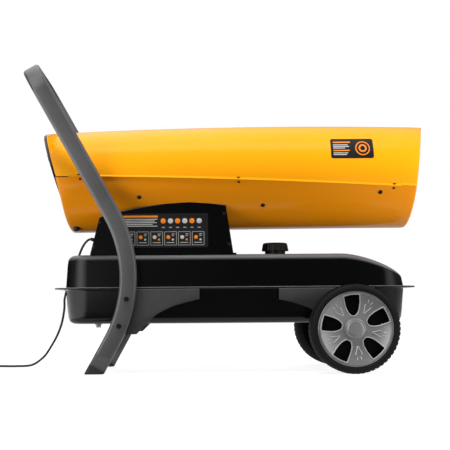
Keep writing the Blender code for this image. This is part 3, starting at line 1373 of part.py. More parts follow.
def base_box():
    """A folded channel on the tank: rear wall, floor and front wall, with its walls cut to the barrel."""
    inner = COVER_Y - BOX_SHEET - TOUCH
    under_cover = 2 * BOX_SHEET + TOUCH
    rear_top = BOX_FLOOR_Z + BOX_REAR_HEIGHT - under_cover
    front_top = BOX_FLOOR_Z + BOX_FRONT_HEIGHT - under_cover
    trace = [(box_edge_x(rear_top, True), rear_top), (BOX_REAR_X, BOX_FLOOR_Z), (BOX_FRONT_X, BOX_FLOOR_Z),
             (box_edge_x(front_top, False), front_top)]
    rows = [[(x, y, z) for x, z in trace] for y in (-inner, -inner / 3, inner / 3, inner)]
    item = sheet("base_box", rows, BOX_SHEET, BLACK, (-1, 0, 0))
    cut(item, barrel_cutter("barrel_form"))
    cut(item, rod("box_pickup_hole", LINE_DIAMETER + 2 * TOUCH, BOX_FLOOR_Z - OVERRUN,
                  BOX_FLOOR_Z + OVERRUN, None, location=(LINE_DROP_X, -LINE_SPREAD, 0), steps=12))
    gland_x = box_edge_x(CORD_Z, True)
    cut(item, rod("gland_hole", GLAND_THREAD_DIAMETER + 2 * TOUCH, -OVERRUN, OVERRUN, None, gland_turn(),
                  (gland_x, CORD_Y, CORD_Z), SMALL_STEPS))
    return item


def cover(name, hand):
    """A side cover: an upright plate, a top edge folded in to the barrel and a small foot at its front."""
    shares = [i / COVER_STATIONS for i in range(COVER_STATIONS + 1)]
    rows = []
    levels = (0, 0.5, 1)
    for share in shares:
        top = cover_top(share)
        row = []
        for level in levels:
            z = BOX_FLOOR_Z + (top - BOX_FLOOR_Z) * level
            x = box_edge_x(z, True) + (box_edge_x(z, False) - box_edge_x(z, True)) * share
            row.append((x, hand * COVER_Y, z))
        x = row[-1][0]
        station = shell_share(x)
        fall = shell_axis_z(station) - top
        half_chord = math.sqrt(max(0, shell_radius(station) ** 2 - fall ** 2))
        row.append((x, hand * (half_chord - 2 * BOX_SHEET), top))
        rows.append(row)
    item = sheet(name, rows, BOX_SHEET, BLACK, (0, hand, 0))
    foot_end = BOX_FRONT_X + COVER_FOOT_REACH
    foot_top = BOX_FLOOR_Z + COVER_FOOT_HEIGHT
    for part, start, depth in (("_foot_side", BOX_FRONT_X - COVER_FOOT_LAP, BOX_SHEET),
                               ("_foot", BOX_FRONT_X + TOUCH, COVER_FOOT_WIDTH)):
        sides = sorted((hand * COVER_Y, hand * (COVER_Y - depth)))
        join(item, block(name + part, (start, sides[0], BOX_FLOOR_Z), (foot_end, sides[1], foot_top), None))
    cut(item, barrel_cutter(name + "_barrel_form"))
    return item


def control_point(x, out=0):
    return (x, COVER_Y + out, CONTROL_Z)


def controls():
    """Knob, rocker switch and lamp on the left cover, with their cut-outs."""
    left = cover("base_cover_left", 1)
    cover("base_cover_right", -1)
    bezel_length = SWITCH_WIDTH + 2 * TOUCH
    bezel_height = 2 * (SWITCH_REACH + TOUCH)
    body = rectangle(bezel_length + 2 * BEZEL_WALL, bezel_height + 2 * BEZEL_WALL, BEZEL_WALL, 2)
    hole = rectangle(bezel_length + 2 * (BEZEL_WALL + TOUCH), bezel_height + 2 * (BEZEL_WALL + TOUCH),
                     BEZEL_WALL, 2)
    cut(left, plate("switch_hole", [hole], 2 * OVERRUN, None, FACING_Y, control_point(SWITCH_X)))
    for name, x, diameter in (("knob_hole", KNOB_X, KNOB_STEM_DIAMETER), ("lamp_hole", LAMP_X, LAMP_DIAMETER)):
        cut(left, rod(name, diameter + 2 * TOUCH, -OVERRUN, OVERRUN, None, ALONG_LEFT, control_point(x), 24))

    rim = rectangle(bezel_length + 2 * (BEZEL_WALL + BEZEL_RIM), bezel_height + 2 * (BEZEL_WALL + BEZEL_RIM),
                    BEZEL_RIM, 3)
    bezel = plate("switch_bezel", [rim], BEZEL_THICKNESS, DARK_PLASTIC, FACING_Y,
                  control_point(SWITCH_X, TOUCH + BEZEL_THICKNESS / 2))
    join(bezel, plate("bezel_body", [body], BEZEL_DEPTH, None, FACING_Y,
                      control_point(SWITCH_X, TOUCH - BEZEL_DEPTH / 2 + BEZEL_THICKNESS / 2)))
    pocket = rectangle(bezel_length, bezel_height, TOUCH, 1)
    pocket_depth = SWITCH_REACH + SWITCH_RISE
    cut(bezel, plate("bezel_pocket", [pocket], 2 * pocket_depth, None, FACING_Y,
                     control_point(SWITCH_X, TOUCH + BEZEL_THICKNESS)))

    edge = SWITCH_EDGE_ANGLE
    lift = math.sin(SWITCH_ANGLE) * SWITCH_REACH
    outline = arc((0, 0), SWITCH_REACH, -edge, edge, 4)
    outline.append((0, SWITCH_REACH * math.sin(edge) - lift))
    outline += arc((0, 0), SWITCH_REACH, math.pi - edge, math.pi + edge, 4)
    pivot = control_point(SWITCH_X, TOUCH + BEZEL_THICKNESS - SWITCH_RISE + lift)
    rocker_turn = (Matrix.Rotation(-SWITCH_ANGLE, 3, "X") @ Matrix.Rotation(QUARTER, 3, "Z")
                   @ Matrix.Rotation(QUARTER, 3, "X") @ Matrix.Rotation(-QUARTER, 3, "Z")).to_euler()
    plate("power_switch", [outline], SWITCH_WIDTH, DARK_PLASTIC, rocker_turn, pivot)

    knob_low = 2 * TOUCH
    skirt = KNOB_DIAMETER / 2
    top = KNOB_TOP_DIAMETER / 2
    grip = KNOB_SKIRT_HEIGHT
    profile = [(0, KNOB_HEIGHT), (top, KNOB_HEIGHT), (top + KNOB_EDGE, KNOB_HEIGHT - KNOB_EDGE),
               (skirt, grip), (skirt, knob_low), (KNOB_STEM_DIAMETER / 2, knob_low),
               (KNOB_STEM_DIAMETER / 2, -KNOB_HEIGHT), (0, -KNOB_HEIGHT)]
    knob = turned("thermostat_knob", profile, DARK_PLASTIC, ALONG_LEFT, control_point(KNOB_X),
                  steps=CHAMBER_STEPS)
    for hand in (-1, 1):
        low = hand * KNOB_GRIP_WIDTH / 2 + (hand - 1) / 2 * skirt
        cutter = block("knob_grip", (low, -skirt, grip), (low + skirt, skirt, KNOB_HEIGHT + OVERRUN), None,
                       rotation=ALONG_LEFT, location=control_point(KNOB_X))
        cut(knob, cutter)

    collar = LAMP_COLLAR_DIAMETER / 2
    lens = LAMP_DIAMETER / 2
    profile = [(0, LAMP_HEIGHT), (LAMP_TOP_DIAMETER / 2, LAMP_SHOULDER_HEIGHT),
               (lens, LAMP_COLLAR_HEIGHT + TOUCH), (collar, LAMP_COLLAR_HEIGHT), (collar, TOUCH), (lens, TOUCH),
               (lens, -LAMP_BODY_LENGTH), (0, -LAMP_BODY_LENGTH)]
    turned("indicator_lamp", profile, AMBER, ALONG_LEFT, control_point(LAMP_X), steps=SMALL_STEPS)


def electrics():
    floor = BOX_FLOOR_Z + BOX_SHEET + TOUCH
    half_length = TRANSFORMER_LENGTH / 2
    half_width = TRANSFORMER_WIDTH / 2
    block("ignition_transformer", (-half_length, -half_width, 0), (half_length, half_width, TRANSFORMER_HEIGHT),
          DARK_PLASTIC, TRANSFORMER_EDGE, location=(TRANSFORMER_X, TRANSFORMER_Y, floor))
    post = BOARD_POST / 2
    low = BOARD_POST_HEIGHT
    place = (BOARD_X, BOARD_Y, floor)
    board = block("control_board", (-BOARD_LENGTH / 2, -BOARD_WIDTH / 2, low),
                  (BOARD_LENGTH / 2, BOARD_WIDTH / 2, low + BOARD_SHEET), GREEN_BOARD, location=place)
    for sx in (-1, 1):
        for sy in (-1, 1):
            x = sx * (BOARD_LENGTH / 2 - BOARD_POST)
            y = sy * (BOARD_WIDTH / 2 - BOARD_POST)
            join(board, block("board_post", (x - post, y - post, 0), (x + post, y + post, low + BOARD_SHEET / 2),
                              None, location=place))
    for sx in (-1, 0, 1):
        x = sx * RELAY_PITCH
        join(board, block("relay", (x - RELAY_LENGTH / 2, -RELAY_LENGTH / 2, low + BOARD_SHEET / 2),
                          (x + RELAY_LENGTH / 2, RELAY_LENGTH / 2, low + RELAY_HEIGHT), None, location=place))


def fuel_and_air_lines():
    filter_low = BOX_FLOOR_Z + BOX_SHEET + FILTER_LIFT
    filter_top = filter_low + FILTER_HEIGHT
    radius = FILTER_DIAMETER / 2
    neck = FILTER_NECK_DIAMETER / 2
    profile = [(0, FILTER_HEIGHT + FILTER_NECK), (neck, FILTER_HEIGHT + FILTER_NECK), (neck, FILTER_HEIGHT),
               (radius, FILTER_HEIGHT - FILTER_NECK / 2), (radius, FILTER_NECK / 2), (neck, 0),
               (neck, -FILTER_NECK), (0, -FILTER_NECK)]
    turned("fuel_filter", profile, BRASS, location=(LINE_DROP_X, -LINE_SPREAD, filter_low), steps=SMALL_STEPS)
    pipe("fuel_pickup", [(LINE_DROP_X, -LINE_SPREAD, filter_low - FILTER_NECK - TOUCH),
                         (LINE_DROP_X, -LINE_SPREAD, TANK_BOTTOM_Z + PAN_SHEET + PICKUP_GAP)],
         LINE_DIAMETER, BRASS)
    start_x = NOZZLE_REAR_X - TOUCH
    bend_x = start_x - LINE_DIAMETER
    fuel = [(start_x, -LINE_PORT_SPREAD, CHAMBER_AXIS_Z), (bend_x, -LINE_PORT_SPREAD, CHAMBER_AXIS_Z),
            (LINE_DROP_X, -LINE_SPREAD, CHAMBER_AXIS_Z),
            (LINE_DROP_X, -LINE_SPREAD, filter_top + FILTER_NECK + TOUCH)]
    pipe("fuel_line", bent_route(fuel, LINE_BEND), LINE_DIAMETER, BRASS)
    pump_low = CHAMBER_AXIS_Z - math.sqrt((PUMP_DIAMETER / 2) ** 2 - LINE_SPREAD ** 2)
    air = [(start_x, LINE_PORT_SPREAD, CHAMBER_AXIS_Z), (bend_x, LINE_PORT_SPREAD, CHAMBER_AXIS_Z),
           (LINE_DROP_X, LINE_SPREAD, CHAMBER_AXIS_Z),
           (LINE_DROP_X, LINE_SPREAD, AIR_LINE_Z), (AIR_LINE_REAR_X, LINE_SPREAD, AIR_LINE_Z),
           (AIR_LINE_REAR_X, LINE_SPREAD, pump_low - LINE_DIAMETER / 2)]
    pipe("air_line", bent_route(air, LINE_BEND), LINE_DIAMETER, DARK_PLASTIC)


def gland_direction():
    """The base box's rear wall looks out along this line."""
    return Vector((-1, 0, BOX_REAR_LEAN)).normalized()


def gland_turn():
    return Vector((0, 0, 1)).rotation_difference(gland_direction()).to_euler()


def cord_gland():
    wall = Vector((box_edge_x(CORD_Z, True), CORD_Y, CORD_Z))
    radius = GLAND_DIAMETER / 2
    shank = GLAND_THREAD_DIAMETER / 2
    tip = RELIEF_TIP / 2
    collar = TOUCH + GLAND_COLLAR
    back = -BOX_SHEET - TOUCH
    profile = [(0, collar + RELIEF_LENGTH), (tip, collar + RELIEF_LENGTH), (RELIEF_ROOT / 2, collar),
               (radius, collar), (radius, TOUCH), (shank, TOUCH), (shank, back), (radius, back),
               (radius, back - GLAND_NUT), (0, back - GLAND_NUT)]
    turned("cord_gland", profile, DARK_PLASTIC, gland_turn(), wall, steps=SMALL_STEPS)
    return wall + gland_direction() * (collar + RELIEF_LENGTH + TOUCH)


def coil_path():
    """Loops that spiral in on the floor layer, climb, and spiral out again, as one line."""
    pitch = CORD_DIAMETER + COIL_STRAND_GAP
    turns = COIL_TURNS / 2
    middle = COIL_MIDDLE_DIAMETER / 2
    outer = middle + pitch * turns / 2
    low = CORD_DIAMETER / 2 + TIE_SHEET + TOUCH
    count = round(COIL_TURNS * COIL_POINTS)
    points = []
    for i in range(count + 1):
        turn = COIL_TURNS * i / count
        radius = outer - pitch * min(turn, COIL_TURNS - turn)
        climb = min(1, max(0, (turn - turns) * 2 + 0.5))
        height = low + pitch * climb * climb * (3 - 2 * climb)
        angle = 2 * math.pi * turn
        points.append(Vector((radius * math.cos(angle), radius * math.sin(angle), height)))
    return points


def least_gap_to_itself(points, diameter, skip):
    """Least gap between two places on a wound tube that are not neighbours along it."""
    least = math.inf
    for i, a in enumerate(points):
        for b in points[i + skip:]:
            least = min(least, (a - b).length - diameter)
    return least


def cord():
    """The cord from the gland over the tank's rear corner to the floor, its coil, tie and plug."""
    exit_point = cord_gland()
    straight = exit_point + gland_direction() * CORD_DIAMETER
    loops = coil_path()
    lay = Vector(CORD_ROUTE[-1])
    # The coil's first loop leaves the cord's last stretch along its own direction.
    heading = (Vector(CORD_ROUTE[-1]) - Vector(CORD_ROUTE[-2])).normalized()
    heading = Vector((heading.x, heading.y, 0)).normalized()
    first = loops[0]
    turn = Matrix.Rotation(math.atan2(heading.y, heading.x) - QUARTER, 3, "Z")
    centre = Vector((lay.x, lay.y, 0)) - turn @ Vector((first.x, first.y, 0))
    centre += heading * (TOUCH + CORD_DIAMETER)
    lead = Vector((lay.x, lay.y, first.z)) + heading * TOUCH
    wound = [centre + turn @ point for point in loops]
    leaving = (wound[-1] - wound[-2]).normalized()
    leaving = Vector((leaving.x, leaving.y, 0)).normalized()
    plug_axis_z = PLUG_DIAMETER / 2
    rise = plug_axis_z - wound[-1].z
    tail = []
    for i in range(1, 5):
        share = i / 4
        reach = PLUG_TAIL * share
        tail.append(wound[-1] + leaving * reach + Vector((0, 0, rise * share * share * (3 - 2 * share))))
    tail.append(tail[-1] + leaving * CORD_DIAMETER)
    whole = [lead] + wound + tail
    coil = pipe("cord_coil", whole, CORD_DIAMETER, RUBBER, 1)
    gap = least_gap_to_itself(wound, CORD_DIAMETER, COIL_POINTS // 2)
    print("least gap of the coil to itself, mm:", round(gap * 1000, 2))

    end = lead - heading * TOUCH
    route = [straight] + [Vector(spot) for spot in CORD_ROUTE[:-1]] + [end - heading * CORD_DIAMETER]
    points, run = smooth_route(route, gland_direction(), heading, CORD_POINT_STEP)
    pipe("cord", [exit_point] + points + [end], CORD_DIAMETER, RUBBER)
    run += 2 * CORD_DIAMETER
    wound_length = sum((b - a).length for a, b in zip(whole, whole[1:]))
    print("cord length, m:", round(run + wound_length, 3))

    inner = min((point - centre).xy.length for point in wound) - CORD_DIAMETER / 2
    outer = max((point - centre).xy.length for point in wound) + CORD_DIAMETER / 2
    top = max(point.z for point in wound) + CORD_DIAMETER / 2
    room = 2 * TOUCH
    hold = rectangle(outer - inner + 2 * room, top - TIE_SHEET + room - TOUCH / 2, TOUCH, 1)
    strap = rectangle(outer - inner + 2 * (room + TIE_SHEET), top + room + TIE_SHEET - TOUCH / 2, TIE_SHEET, 2)
    side = turn @ Vector((-1, 0, 0))
    at = centre + side * (inner + outer) / 2
    face = Matrix.Rotation(math.atan2(side.y, side.x), 3, "Z") @ Matrix.Rotation(QUARTER, 3, "X")
    lift = (top + room + TIE_SHEET - TOUCH / 2) / 2
    plate("cord_tie", [strap, hold], TIE_WIDTH, DARK_PLASTIC, face.to_euler(), (at.x, at.y, lift))
    cord_plug(tail[-1] + leaving * TOUCH, leaving)


def cord_plug(place, direction):
    """A two-pin moulded plug with a tapered sleeve, lying on the floor."""
    turn = Vector((0, 0, 1)).rotation_difference(direction).to_euler()
    radius = PLUG_DIAMETER / 2
    tip = PLUG_SLEEVE_TIP / 2
    shoulder = PLUG_SLEEVE + PLUG_SHOULDER
    end = PLUG_SLEEVE + PLUG_LENGTH
    profile = [(0, end), (radius, end), (radius, shoulder), (PLUG_NECK_DIAMETER / 2, PLUG_SLEEVE), (tip, 0),
               (0, 0)]
    plug = turned("plug", profile, DARK_PLASTIC, turn, place, steps=20)
    across = Vector((0, 0, 1)).cross(direction).normalized()
    for hand in (-1, 1):
        foot = place + across * hand * PLUG_PIN_SPACING / 2
        join(plug, rod("plug_pin", PLUG_PIN_DIAMETER, end - PLUG_PIN_LENGTH / 2, end + PLUG_PIN_LENGTH, None,
                       turn, foot, 12))


wheel("left", 1, ALONG_LEFT)
wheel("right", -1, ALONG_RIGHT)
axle()
tank()
filler()
drain()
for side_name, side_hand in (("left", 1), ("right", -1)):
    front_bracket(side_name, side_hand)
    rear_bracket(side_name, side_hand)
    foot_plug(side_name, side_hand)
handle_frame()
shells()
chamber()
chamber_support("chamber_support_rear", SUPPORT_XS[0])
chamber_support("chamber_support_front", SUPPORT_XS[1])
deflector()
burner()
motor()
fan()
air_pump()
intake_guard()
base_box()
controls()
electrics()
fuel_and_air_lines()
cord()
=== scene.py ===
# %% [markdown]
# # A diesel forced air heater
# A yellow sheet metal barrel lies over a black fuel tank. A motor, a fan and an air pump sit in its rear
# end and a combustion chamber in its front end. The machine stands on two wheels and on a bent tube that is
# leg and handle in one. This notebook loads the rigid frame from the CAD step and dresses it: first come the
# helpers and the finishes, then the pieces one after another, and last the floor and the light.

# %% Load the frame
from math import acos, asin, atan2, ceil, cos, degrees, pi, radians, sin, sqrt

import bmesh
import bpy
from mathutils import Matrix, Vector


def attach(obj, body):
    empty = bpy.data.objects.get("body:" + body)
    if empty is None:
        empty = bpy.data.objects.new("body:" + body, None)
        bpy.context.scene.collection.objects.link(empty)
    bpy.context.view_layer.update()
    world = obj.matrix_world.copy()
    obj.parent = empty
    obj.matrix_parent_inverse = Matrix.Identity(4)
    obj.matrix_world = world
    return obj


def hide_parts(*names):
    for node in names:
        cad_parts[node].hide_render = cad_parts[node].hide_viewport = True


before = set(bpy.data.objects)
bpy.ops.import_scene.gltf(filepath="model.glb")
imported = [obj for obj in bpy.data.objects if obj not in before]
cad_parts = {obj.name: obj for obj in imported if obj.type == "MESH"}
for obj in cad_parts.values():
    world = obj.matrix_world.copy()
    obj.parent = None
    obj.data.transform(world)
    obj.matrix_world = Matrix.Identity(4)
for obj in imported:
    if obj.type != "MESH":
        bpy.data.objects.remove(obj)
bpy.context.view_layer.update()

scene = bpy.context.scene
print("nodes:", len(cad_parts))

# %% [markdown]
# ## Camera
# The photograph was taken from the heater's right side with a long lens, level and a little above the
# floor. The lens axis is far below the heater's middle, so the picture is framed with lens shift and not by
# tilting the camera: upright edges stay upright, as in a product shot.

# %% Camera
def settled(item, **settings):
    """Give an item several settings at once."""
    for name, value in settings.items():
        setattr(item, name, value)
    return item


def linked(name, data):
    """A new object in the scene."""
    made = bpy.data.objects.new(name, data)
    scene.collection.objects.link(made)
    return made


side_camera = linked("side_camera", bpy.data.cameras.new("side_camera"))
settled(side_camera.data, lens=82.08, shift_x=0.06, shift_y=0.1733)
settled(side_camera, location=(-0.08765, -3.13, 0.203), rotation_euler=(radians(90), radians(0.4), 0))
scene.camera = side_camera
print("camera lens, mm:", side_camera.data.lens)

# %% [markdown]
# ## Small tools for lines and rings
# Most pieces here are rows of points that are joined into a skin: a turned part is one row for each point of
# its profile, a bent tube one row for each station of its path, a pressed sheet one row for each cut across
# it. One helper lays such rows, and one ends a piece: it welds, turns faces outward and shades it.

# %% Helpers for lines
QUARTER, FULL = pi / 2, 2 * pi
SIDES = (("left", 1), ("right", -1))


def fan(steps, whole=FULL):
    """Angles in even steps from 0 up to the whole, which is left out."""
    return [whole * k / steps for k in range(steps)]


def quarter_fan(steps):
    """Angles in even steps from 0 up to a quarter turn, with both ends."""
    return fan(steps, QUARTER) + [QUARTER]


def round_at(radius, angle, height=0):
    """A point round the local Z axis."""
    return Vector((radius * cos(angle), radius * sin(angle), height))


def curve_at(before, start, end, after, t):
    """A value between start and end on a Catmull-Rom curve."""
    return 0.5 * (2 * start + (end - before) * t + (2 * before - 5 * start + 4 * end - after) * t ** 2
                  + (3 * start - before - 3 * end + after) * t ** 3)


def ease(t):
    """A soft rise from 0 to 1."""
    t = max(0, min(1, t))
    return t * t * (3 - 2 * t)


def smooth_line(spots, parts):
    """A line through the spots with extra points between them."""
    spots = [Vector(spot) for spot in spots]
    spots = [spots[0] * 2 - spots[1], *spots, spots[-1] * 2 - spots[-2]]
    line = [curve_at(*spots[i:i + 4], k / parts) for i in range(len(spots) - 3) for k in range(parts)]
    return line + [spots[-2]]


def arc_line(centre, radius, start, end, steps):
    angles = [start + (end - start) * i / steps for i in range(steps + 1)]
    return [Vector((centre[0] + radius * cos(a), centre[1] + radius * sin(a))) for a in angles]


def ring_of(radius, height, steps):
    """One level ring of points round the local Z axis."""
    return [round_at(radius, a, height) for a in fan(steps)]


def mirror_of(line):
    """The mirror image of a line over the X axis, from its end to its start."""
    return [Vector((spot.x, -spot.y)) for spot in reversed(line)]


def rounded_box(x0, x1, y0, y1, radius, steps):
    """The closed outline of a rectangle with every corner rounded by an arc."""
    corners = [Vector(corner) for corner in ((x0, y0), (x1, y0), (x1, y1), (x0, y1))]
    line = []
    for i, corner in enumerate(corners):
        back, forth = corners[i - 1] - corner, corners[(i + 1) % 4] - corner
        reach = min(radius, back.length / 2, forth.length / 2)
        back, forth = back.normalized() * reach, forth.normalized() * reach
        line += [corner + back * (1 - sin(a)) + forth * (1 - cos(a)) for a in quarter_fan(steps)]
    return line


print("line tools ready")

# %% Helpers for skins
def lay_rows(work, rows, around=True, looped=False, capped=False, finish=0):
    """Add rows of points to a mesh in the making and join each row to the next."""
    laid = [[work.verts.new(spot) for spot in row] for row in rows]
    faces = []
    count = len(laid[0])
    for i in range(len(laid) if looped else len(laid) - 1):
        near, far = laid[i], laid[(i + 1) % len(laid)]
        for k in range(count if around else count - 1):
            j = (k + 1) % count
            faces.append(work.faces.new((near[k], near[j], far[j], far[k])))
    if capped:
        faces += [work.faces.new(laid[0]), work.faces.new(laid[-1])]
    for face in faces:
        face.material_index = finish


def skin_of(rows, **kind):
    """A mesh in the making that holds one set of rows."""
    work = bmesh.new()
    lay_rows(work, rows, **kind)
    return work


def lay_turned(work, profile, steps, looped=False):
    """Add a profile of (radius, height) pairs that is turned round the local Z axis."""
    lay_rows(work, [ring_of(radius, height, steps) for radius, height in profile], looped=looped)


def lay_bead(work, line, radius, closed=False, steps=8):
    """Add a round bead that follows a line, and that thins out where the line ends."""
    count = len(line)
    rows = []
    side = None
    for i, spot in enumerate(line):
        ahead = line[(i + 1) % count] if closed or i + 1 < count else spot
        behind = line[i - 1] if closed or i else spot
        run = (ahead - behind).normalized()
        if side is None:
            side = run.orthogonal()
        side = (side - run * side.dot(run)).normalized()
        other = run.cross(side)
        thick = radius * (0.35 if not closed and i in (0, count - 1) else 1)
        rows.append([spot + side * thick * cos(a) + other * thick * sin(a) for a in fan(steps)])
    lay_rows(work, rows, looped=closed, capped=not closed)


def end_piece(name, work, finishes=(), place=None, sharp=32, outward=True):
    """Weld a mesh in the making, shade it and link it as a piece whose place is in its mesh."""
    bmesh.ops.remove_doubles(work, verts=work.verts, dist=0.00001)
    bmesh.ops.dissolve_degenerate(work, edges=work.edges, dist=0.000001)
    if outward:
        bmesh.ops.recalc_face_normals(work, faces=work.faces)
    mesh = bpy.data.meshes.new(name)
    work.to_mesh(mesh)
    work.free()
    if place:
        mesh.transform(place)
    for finish in finishes:
        mesh.materials.append(FINISHES[finish])
    return shaded(linked(name, mesh), sharp)


def shaded(piece, sharp):
    piece.data.shade_smooth()
    piece.data.set_sharp_from_angle(angle=radians(sharp))
    return piece


def reopen(*pieces):
    """A mesh in the making with all faces of some pieces, which are thrown away."""
    work = bmesh.new()
    for piece in pieces:
        work.from_mesh(piece.data)
        bpy.data.objects.remove(piece, do_unlink=True)
    return work


def thick_sheet(piece, thickness, inner_finish=0, even=True):
    """Give a one-sided skin its wall, inward from the drawn side."""
    settled(piece.modifiers.new("wall", "SOLIDIFY"), thickness=thickness, offset=-1, use_even_offset=even,
            use_quality_normals=True, material_offset=inner_finish)


def plain_mesh(piece):
    """What a curve or a piece with modifiers looks like, as plain mesh."""
    bpy.context.view_layer.update()
    return bpy.data.meshes.new_from_object(piece.evaluated_get(bpy.context.evaluated_depsgraph_get()))


def bake_shape(piece):
    """Turn a piece's modifiers into plain mesh."""
    mesh = plain_mesh(piece)
    piece.modifiers.clear()
    piece.data = mesh


def cut_tool(outline, low, high, place=None, finishes=(), finish=0):
    """A closed straight tool with an outline, for a cut."""
    rows = [[Vector((spot[0], spot[1], height)) for spot in outline] for height in (low, high)]
    return end_piece("tool", skin_of(rows, capped=True, finish=finish), finishes, place=place)


def cut_through(piece, tools):
    """Cut closed tool shapes out of a piece and throw the tools away."""
    for tool in tools:
        settled(piece.modifiers.new("cut", "BOOLEAN"), operation="DIFFERENCE", solver="EXACT", object=tool)
    bake_shape(piece)
    for tool in tools:
        bpy.data.objects.remove(tool, do_unlink=True)


def add_line(curve, spots, **settings):
    """Add a line of straight stretches to a curve."""
    line = settled(curve.splines.new("POLY"), **settings)
    line.points.add(len(spots) - 1)
    for point, spot in zip(line.points, spots):
        point.co = (*spot, 1)


def face_to(piece, face, direction):
    """Turn all faces of an open skin round if the named one looks away from a direction."""
    if piece.data.polygons[face].normal.dot(direction) < 0:
        piece.data.flip_normals()


def fit(piece, slot, *nodes, body="heater"):
    """Let a piece ride on its body and stand for its CAD nodes, which are hidden. The slot is not used."""
    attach(piece, body)
    if nodes:
        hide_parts(*nodes)
    print("piece:", piece.name)


def dress(name, work, slot, *nodes, finishes=None, body="heater", **ending):
    """End a mesh in the making as a fitted piece. Without finishes of its own it takes its slot's finish."""
    piece = end_piece(name, work, finishes or [FINISH_OF_SLOT.get(slot, slot)], **ending)
    fit(piece, slot, *nodes, body=body)


print("skin tools ready")

# %% [markdown]
# ## Effects that several finishes share
# A paint coat has a faint orange peel, handled metal has fine scuffs, dust gathers in soft blotches, and the
# rounded upper edges of black sheet are painted paler, a painted highlight for the light above that they mirror.
# Each of these is a shader node group, built once, with its size and strength as inputs. A material places
# the group with its own values, so all finishes on the machine belong together.

# %% Node helpers
FLOAT, COLOUR, VECTOR = "NodeSocketFloat", "NodeSocketColor", "NodeSocketVector"


def feed(socket, value):
    """Link an output, or a node's first output, to an input, or set the input to a plain value."""
    if isinstance(value, bpy.types.Node):
        value = value.outputs[0]
    if isinstance(value, bpy.types.NodeSocket):
        socket.id_data.links.new(value, socket)
    else:
        socket.default_value = value


def add_node(tree, kind, *inputs, **values):
    """A node whose inputs are fed in order, and whose settings and other inputs are given by name."""
    made = tree.nodes.new(kind)
    for name, value in values.items():
        if hasattr(made, name):
            setattr(made, name, value)
        else:
            feed(made.inputs[name.replace("_", " ")], value)
    for socket, value in zip(made.inputs, inputs):
        feed(socket, value)
    return made


def worked(tree, operation, *values):
    """The result of a math node."""
    return add_node(tree, "ShaderNodeMath", *values, operation=operation)


def ramp_of(tree, source, stops, kind="LINEAR"):
    """A value along a ramp, given as (position, value) pairs."""
    ramp = add_node(tree, "ShaderNodeValToRGB", source)
    ramp.color_ramp.interpolation = kind
    while len(ramp.color_ramp.elements) < len(stops):
        ramp.color_ramp.elements.new(0.5)
    for element, (position, value) in zip(ramp.color_ramp.elements, stops):
        element.position = position
        element.color = (value, value, value, 1)
    return ramp


def mixed_colour(tree, share, first, second):
    mix = add_node(tree, "ShaderNodeMix", data_type="RGBA")
    for number, value in ((0, share), (6, first), (7, second)):
        feed(mix.inputs[number], value)
    return mix.outputs[2]


def new_tree(name, kind, inputs, outputs):
    """An empty node tree. Its inputs are named with a kind of socket or with a number to start from."""
    tree = bpy.data.node_groups.new(name, kind)
    for label, value in inputs.items():
        socket_kind = value if isinstance(value, str) else FLOAT
        socket = tree.interface.new_socket(label, in_out="INPUT", socket_type=socket_kind)
        if socket_kind is FLOAT:
            socket.default_value = value
    for label, socket_kind in outputs.items():
        tree.interface.new_socket(label, in_out="OUTPUT", socket_type=socket_kind)
    print("tree:", name)
    return tree, tree.nodes.new("NodeGroupInput").outputs, tree.nodes.new("NodeGroupOutput").inputs


print("node tools ready")

# %% Group: skin relief
skin_relief, given, result = new_tree(
    "skin_relief", "ShaderNodeTree", {"Place": VECTOR, "Size": 300, "Strength": 0.1, "Depth": 0.0002},
    {"Normal": VECTOR})
peel = add_node(skin_relief, "ShaderNodeTexNoise", Vector=given["Place"], Scale=given["Size"], Detail=2,
                Roughness=0.5)
relief = add_node(skin_relief, "ShaderNodeBump", Strength=given["Strength"], Distance=given["Depth"],
                  Height=peel)
feed(result["Normal"], relief)

# %% Group: handling scuffs
handling_scuffs, given, result = new_tree(
    "handling_scuffs", "ShaderNodeTree", {"Place": VECTOR, "Size": 30}, {"Mask": FLOAT})
stretch = add_node(handling_scuffs, "ShaderNodeMapping", Vector=given["Place"], Scale=(1, 1, 7),
                   Rotation=(0.3, 0.5, 0.2))
scuff = add_node(handling_scuffs, "ShaderNodeTexNoise", Vector=stretch, Scale=given["Size"],
                 Detail=5, Roughness=0.62, Distortion=0.4)
feed(result["Mask"], ramp_of(handling_scuffs, scuff, ((0.60, 0), (0.72, 1))))

# %% Group: soft blotches
soft_blotches, given, result = new_tree(
    "soft_blotches", "ShaderNodeTree",
    {"Place": VECTOR, "Size": 6, "Colour": COLOUR, "Blotch": COLOUR, "Amount": 0.3}, {"Colour": COLOUR})
cloud = add_node(soft_blotches, "ShaderNodeTexNoise", Vector=given["Place"], Scale=given["Size"], Detail=4,
                 Roughness=0.6)
spread = ramp_of(soft_blotches, cloud, ((0.38, 0), (0.72, 1)))
share = worked(soft_blotches, "MULTIPLY", spread, given["Amount"])
feed(result["Colour"], mixed_colour(soft_blotches, share, given["Colour"], given["Blotch"]))

# %% Group: painted edge highlight
edge_film, given, result = new_tree(
    "edge_film", "ShaderNodeTree", {"Colour": COLOUR, "Film": COLOUR}, {"Colour": COLOUR})
# Faces that look partly upward, such as rounded upper edges, take a paler colour: a painted highlight of the light
# above.
slope = add_node(edge_film, "ShaderNodeSeparateXYZ",
                 edge_film.nodes.new("ShaderNodeNewGeometry").outputs["Normal"])
band = ramp_of(edge_film, slope.outputs["Z"], ((0.23, 0), (0.68, 1), (0.93, 0.9), (0.992, 0.05)))
feed(result["Colour"], mixed_colour(edge_film, band, given["Colour"], given["Film"]))

# %% [markdown]
# ## Finishes
# One function builds the finishes, because they differ in values and not in build: a colour with soft
# blotches, a roughness that scuffs lift, and a relief. Plain numbers, such as metallic, stand on the shader.

# %% Build a finish
SCUFF_SIZE = 25


